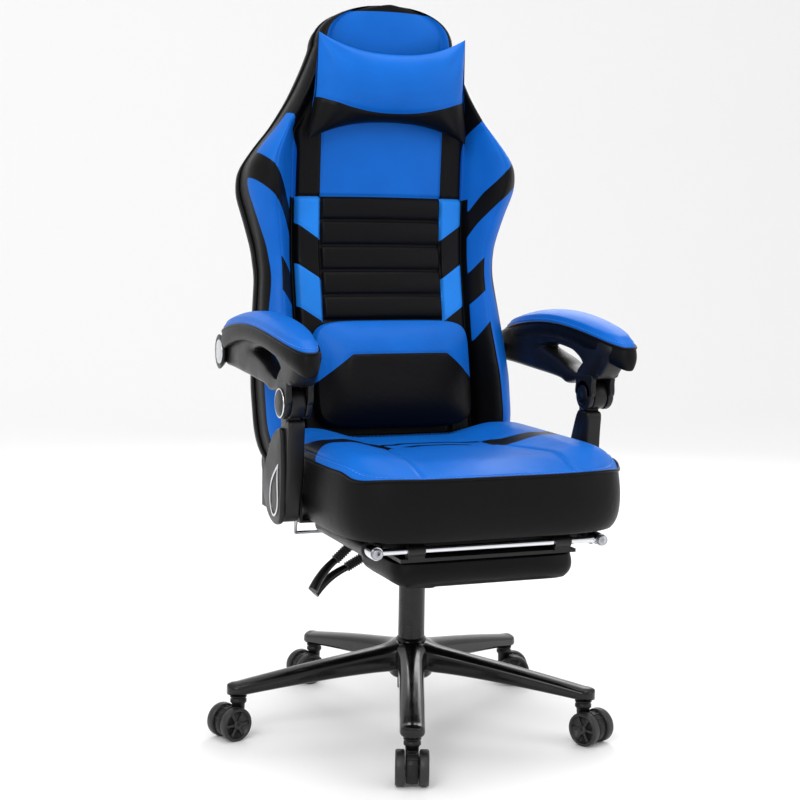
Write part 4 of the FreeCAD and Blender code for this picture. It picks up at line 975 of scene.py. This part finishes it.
def arm_shells():
    """The left arm's beam, its pivot caps and its post, in the arm's own outlines."""
    y, z = pivot("arm_front_pivot_left")[1:]
    back_y, back_z = pivot("arm_rear_pivot_left")[1:]
    foot_y, foot_z = -115, 452
    outer = [(y - 90, z + 90), (y - 84, z + 77), (y - 70, z + 56), (y - 46, z + 35), (y - 16, z + 31),
             (y + 26, z + 24), (y + 70, z + 14), (y + 118, z + 22), (back_y - 60, back_z - 26),
             (back_y + 2, back_z - 23), (back_y + 22, back_z), (back_y + 14, back_z + 30),
             (back_y - 60, back_z + 50), (y + 180, back_z + 62), (y + 60, back_z + 64), (y - 30, z + 110),
             (y - 80, z + 98)]
    inner = [(y + 18, z + 54), (y + 18, z + 50), (y + 19, z + 46), (y + 23, z + 42), (y + 30, z + 40),
             (y + 42, z + 39), (y + 76, z + 46), (y + 112, z + 58), (y + 166, z + 71), (y + 176, z + 74),
             (y + 179, z + 76), (y + 174, z + 78), (y + 164, z + 80), (y + 128, z + 84), (y + 62, z + 78),
             (y + 34, z + 68), (y + 22, z + 60)]
    beam = [hoop(outer, inner, 265, 313), disc(27.6, 264.5, 275, y, z), disc(27.6, 303, 313.5, y, z),
            plate([(y - 50, z + 40), (y - 34, z + 31), (y - 10, z + 31), (y + 24, z + 26), (y + 28, z + 44),
                   (y - 10, z + 70), (y - 40, z + 66)], 266, 312, 5),
            turned([(0, 310), (22, 310), (27, 314), (32, 319), (33, 321), (0, 321)], (0, back_y, back_z),
                   (1, 0, 0), around=64)]
    for low, high in ((264.5, 275), (303, 313.5)):
        beam.append(plate([(y - 27, z - 2), (y + 27, z - 2), (y + 30, z + 20), (y + 26, z + 34),
                           (y - 28, z + 38), (y - 32, z + 22)], low, high, 2.5))
    dark = [disc(23, 312, 317.4, y, z), disc(6.8, 270, 314, y, z, 0.5), disc(18, 262.6, 266, y, z, 1.0)]
    bright = [torus((315.2, y, z), (1, 0, 0), 24.2, 1.5), disc(23, 320.4, 322.6, back_y, back_z, 0.8)]
    flange = [(y + 8, z - 118), (foot_y - 38, foot_z + 14), (foot_y - 31, foot_z - 20),
              (foot_y, foot_z - 33), (foot_y + 40, foot_z - 21), (foot_y + 68, foot_z + 12),
              (foot_y + 70, foot_z + 44),
              (foot_y + 48, foot_z + 84), (foot_y + 14, foot_z + 124), (y + 26, z - 46), (y + 14, z - 60)]
    shank = [(y - 8, z - 34), (y - 7, z - 70), (y - 2, z - 130), (foot_y - 36, foot_z + 4),
             (foot_y - 24, foot_z - 22), (foot_y, foot_z - 28), (foot_y + 24, foot_z - 18),
             (foot_y + 32, foot_z + 8), (foot_y + 22, foot_z + 60), (foot_y + 4, foot_z + 112),
             (y + 34, z - 34), (y + 16, z - 32)]
    neck = [(y + 6, z - 40), (y + 34, z - 42), (y + 34, z - 8), (y + 8, z - 6)]
    post = [plate(flange, 298, 308.5, 4), plate(shank, 271, 301, 5), disc(26.8, 276.3, 301.7, y, z),
            plate(neck, 276.6, 301.4, 3)]
    return beam, dark, bright, post


# ------------------------------------------------------------------ pieces

piece("back_front_pad", [back_front()], two_tone, "back",
      replaces=["back_cushion"])
piece("back_rear_cover", [back_shell()], black_leather, "back",
      replaces=["back_cover"])
piece("back_edge_piping", [edge_cord(1.0, 39.0, 2.4, -10)], black_leather, "back")
seat_skin, seat_piping, seat_thread = seat()
piece("seat_pad", [seat_skin], two_tone, "seat", replaces=["seat_cushion"])
piece("seat_piping", [seat_piping], black_leather, "seat")
piece("seat_stitching", seat_thread, thread_blue, "seat")
lumbar_skin, _ = lumbar()
piece("lumbar_pillow_cover", [lumbar_skin], two_tone, "back",
      replaces=["lumbar_pillow"])
piece("head_pillow_cover", [head_pillow()], two_tone, "back",
      replaces=["head_pillow"])
for side in ("left", "right"):
    pad, piping, thread = arm_pad(side)
    piece("arm_pad_cover_" + side, [pad], two_tone, "arm_" + side,
          replaces=["arm_pad_" + side])
    piece("arm_pad_piping_" + side, [piping], black_leather, "arm_" + side)
    piece("arm_pad_stitching_" + side, thread, thread_blue, "arm_" + side)
piece("footrest_pad", [footrest_pad()], black_leather, "footrest",
      replaces=["footrest_cushion"])

leg_angles = [-111.2 + 72 * number for number in range(5)]
piece("star_base_shell", [base_hub()] + [base_leg(angle) for angle in leg_angles], base_paint,
      BODY_OF["star_base"], replaces=["star_base"])
for number in range(1, 6):
    stem = pivot("caster_%d_swivel" % number)
    for side in ("left", "right"):
        name = "caster_%d_wheel_%s" % (number, side)
        centre, axis = pivot(name + "_spin"), np.array(JOINTS[name + "_spin"]["axis"], float)
        way = math.copysign(1.0, float(np.dot(box(name).mean(axis=0) - centre, axis)))
        piece(name + "_moulding", caster_wheel(centre, axis, way), tread, name,
              replaces=[name])
    piece("caster_%d_hood" % number, caster_hood(stem, centre, axis), caster_plastic, "caster_%d" % number,
          replaces=["caster_%d_housing" % number])
beam, dark, bright, post = arm_shells()
for side in ("left", "right"):
    place_one = (lambda one: one) if side == "left" else mirror
    piece("arm_beam_moulding_" + side, [place_one(one) for one in beam], arm_plastic, "arm_" + side,
          replaces=["arm_beam_" + side])
    piece("arm_pivot_boss_" + side, [place_one(one) for one in dark], dark_cap, "arm_" + side,
          replaces=["arm_pivot_caps_" + side])
    piece("arm_pivot_ring_" + side, [place_one(one) for one in bright], chrome, "arm_" + side,
          replaces=["arm_pivot_caps_" + side])
    piece("arm_post_moulding_" + side, [place_one(one) for one in post], arm_plastic, "post_" + side,
          replaces=["arm_post_" + side])
ends = box("footrest_end_caps")
middle_y, middle_z = (ends[0][1:] + ends[1][1:]) / 2
knob = [(0, 5), (7.6, 5), (9, 3.6), (9, 1), (8, 0), (8, -1), (9, -2), (9, -4), (7.6, -5.4), (0, -5.4)]
knobs = [turned(knob, (sign * (ends[1][0] - 13), middle_y, middle_z), (0, -1, 0), around=36)
         for sign in (-1, 1)]
piece("footrest_slide_ends", knobs, steel, BODY_OF["footrest_end_caps"],
      replaces=["footrest_end_caps"])

FINISHES = {
    "base_paint": base_paint, "lift_paint": tube_paint, "frame_paint": frame_paint, "steel": steel,
    "chrome_trim": chrome, "caster_plastic": caster_plastic, "wheel_plastic": tread,
    "lever_plastic": lever_plastic, "boot_rubber": boot_rubber, "arm_plastic": arm_plastic,
    "plywood": plywood, "rest_board": frame_paint, "elastic": elastic}
for subpart in RECORD["subparts"]:
    made = frame["nodes"][subpart["node"]]
    if subpart["material_slot"] in FINISHES:
        for index in range(max(1, len(made.material_slots))):
            if made.material_slots:
                made.material_slots[index].material = FINISHES[subpart["material_slot"]]
            else:
                made.data.materials.append(FINISHES[subpart["material_slot"]])


# ------------------------------------------------------------------ floor, light and camera

def floor():
    """A pale floor, curving up into a wall far behind."""
    made = bpy.data.meshes.new("floor")
    depth = np.concatenate([[-9.0], np.linspace(4.0, 6.4, 14), [6.5]])
    rise = np.concatenate([[0.0], 2.4 - 2.4 * np.sqrt(1 - np.linspace(0, 1, 14) ** 2), [7.0]])
    points = [(x, y, z) for y, z in zip(depth, rise) for x in (-10.0, 10.0)]
    faces = [(2 * row, 2 * row + 1, 2 * row + 3, 2 * row + 2) for row in range(len(depth) - 1)]
    made.from_pydata(points, [], faces)
    made.polygons.foreach_set("use_smooth", [True] * len(made.polygons))
    ground = bpy.data.objects.new("floor", made)
    bpy.context.scene.collection.objects.link(ground)
    paint, tree = blank_finish("studio_floor")
    shader = node(tree, "BsdfPrincipled", {"Base Color": linear("#f7f7f7"), "Roughness": 0.8})
    finish_with(tree, shader)
    made.materials.append(paint)


def lamp(name, place, aim, size, power, shape="RECTANGLE"):
    """A soft studio panel at place, turned to face aim."""
    data = bpy.data.lights.new(name, "AREA")
    data.shape = shape
    data.size, data.size_y = size
    data.energy = power
    made = bpy.data.objects.new(name, data)
    bpy.context.scene.collection.objects.link(made)
    way = np.array(aim, float) - np.array(place, float)
    made.location = place
    made.rotation_euler = mathutils.Vector(way).to_track_quat("-Z", "Y").to_euler()


floor()
lamp("key_panel", (-2.4, -2.6, 2.9), (0, 0, 0.8), (2.0, 2.0), 60)
lamp("fill_panel", (2.8, -2.4, 1.8), (0, 0, 0.7), (1.8, 2.4), 16)
lamp("top_panel", (0.2, -0.2, 3.4), (0, 0, 0.5), (2.4, 2.0), 40)
lamp("rim_panel", (1.4, 2.6, 2.2), (0, 0, 0.9), (2.0, 1.4), 30)
world = bpy.data.worlds.new("studio")
bpy.context.scene.world = world
world.use_nodes = True
world.node_tree.nodes["Background"].inputs["Color"].default_value = (1.0, 1.0, 1.0, 1.0)
world.node_tree.nodes["Background"].inputs["Strength"].default_value = 0.9

azimuth, elevation, roll = math.radians(-21.51), math.radians(6.376), math.radians(0.914)
back_way = mathutils.Vector((math.sin(azimuth) * math.cos(elevation),
                             -math.cos(azimuth) * math.cos(elevation), math.sin(elevation)))
lens = bpy.data.cameras.new("camera")
lens.lens = 72.93
lens.sensor_width = 36
eye = bpy.data.objects.new("camera", lens)
bpy.context.scene.collection.objects.link(eye)
bpy.context.scene.camera = eye
eye.location = (-1.1295, -2.7888, 0.9528)
facing = (-back_way).to_track_quat("-Z", "Y").to_matrix()
eye.rotation_euler = (facing @ mathutils.Matrix.Rotation(roll, 3, "Z")).to_euler()
bpy.context.scene.view_settings.view_transform = "Standard"
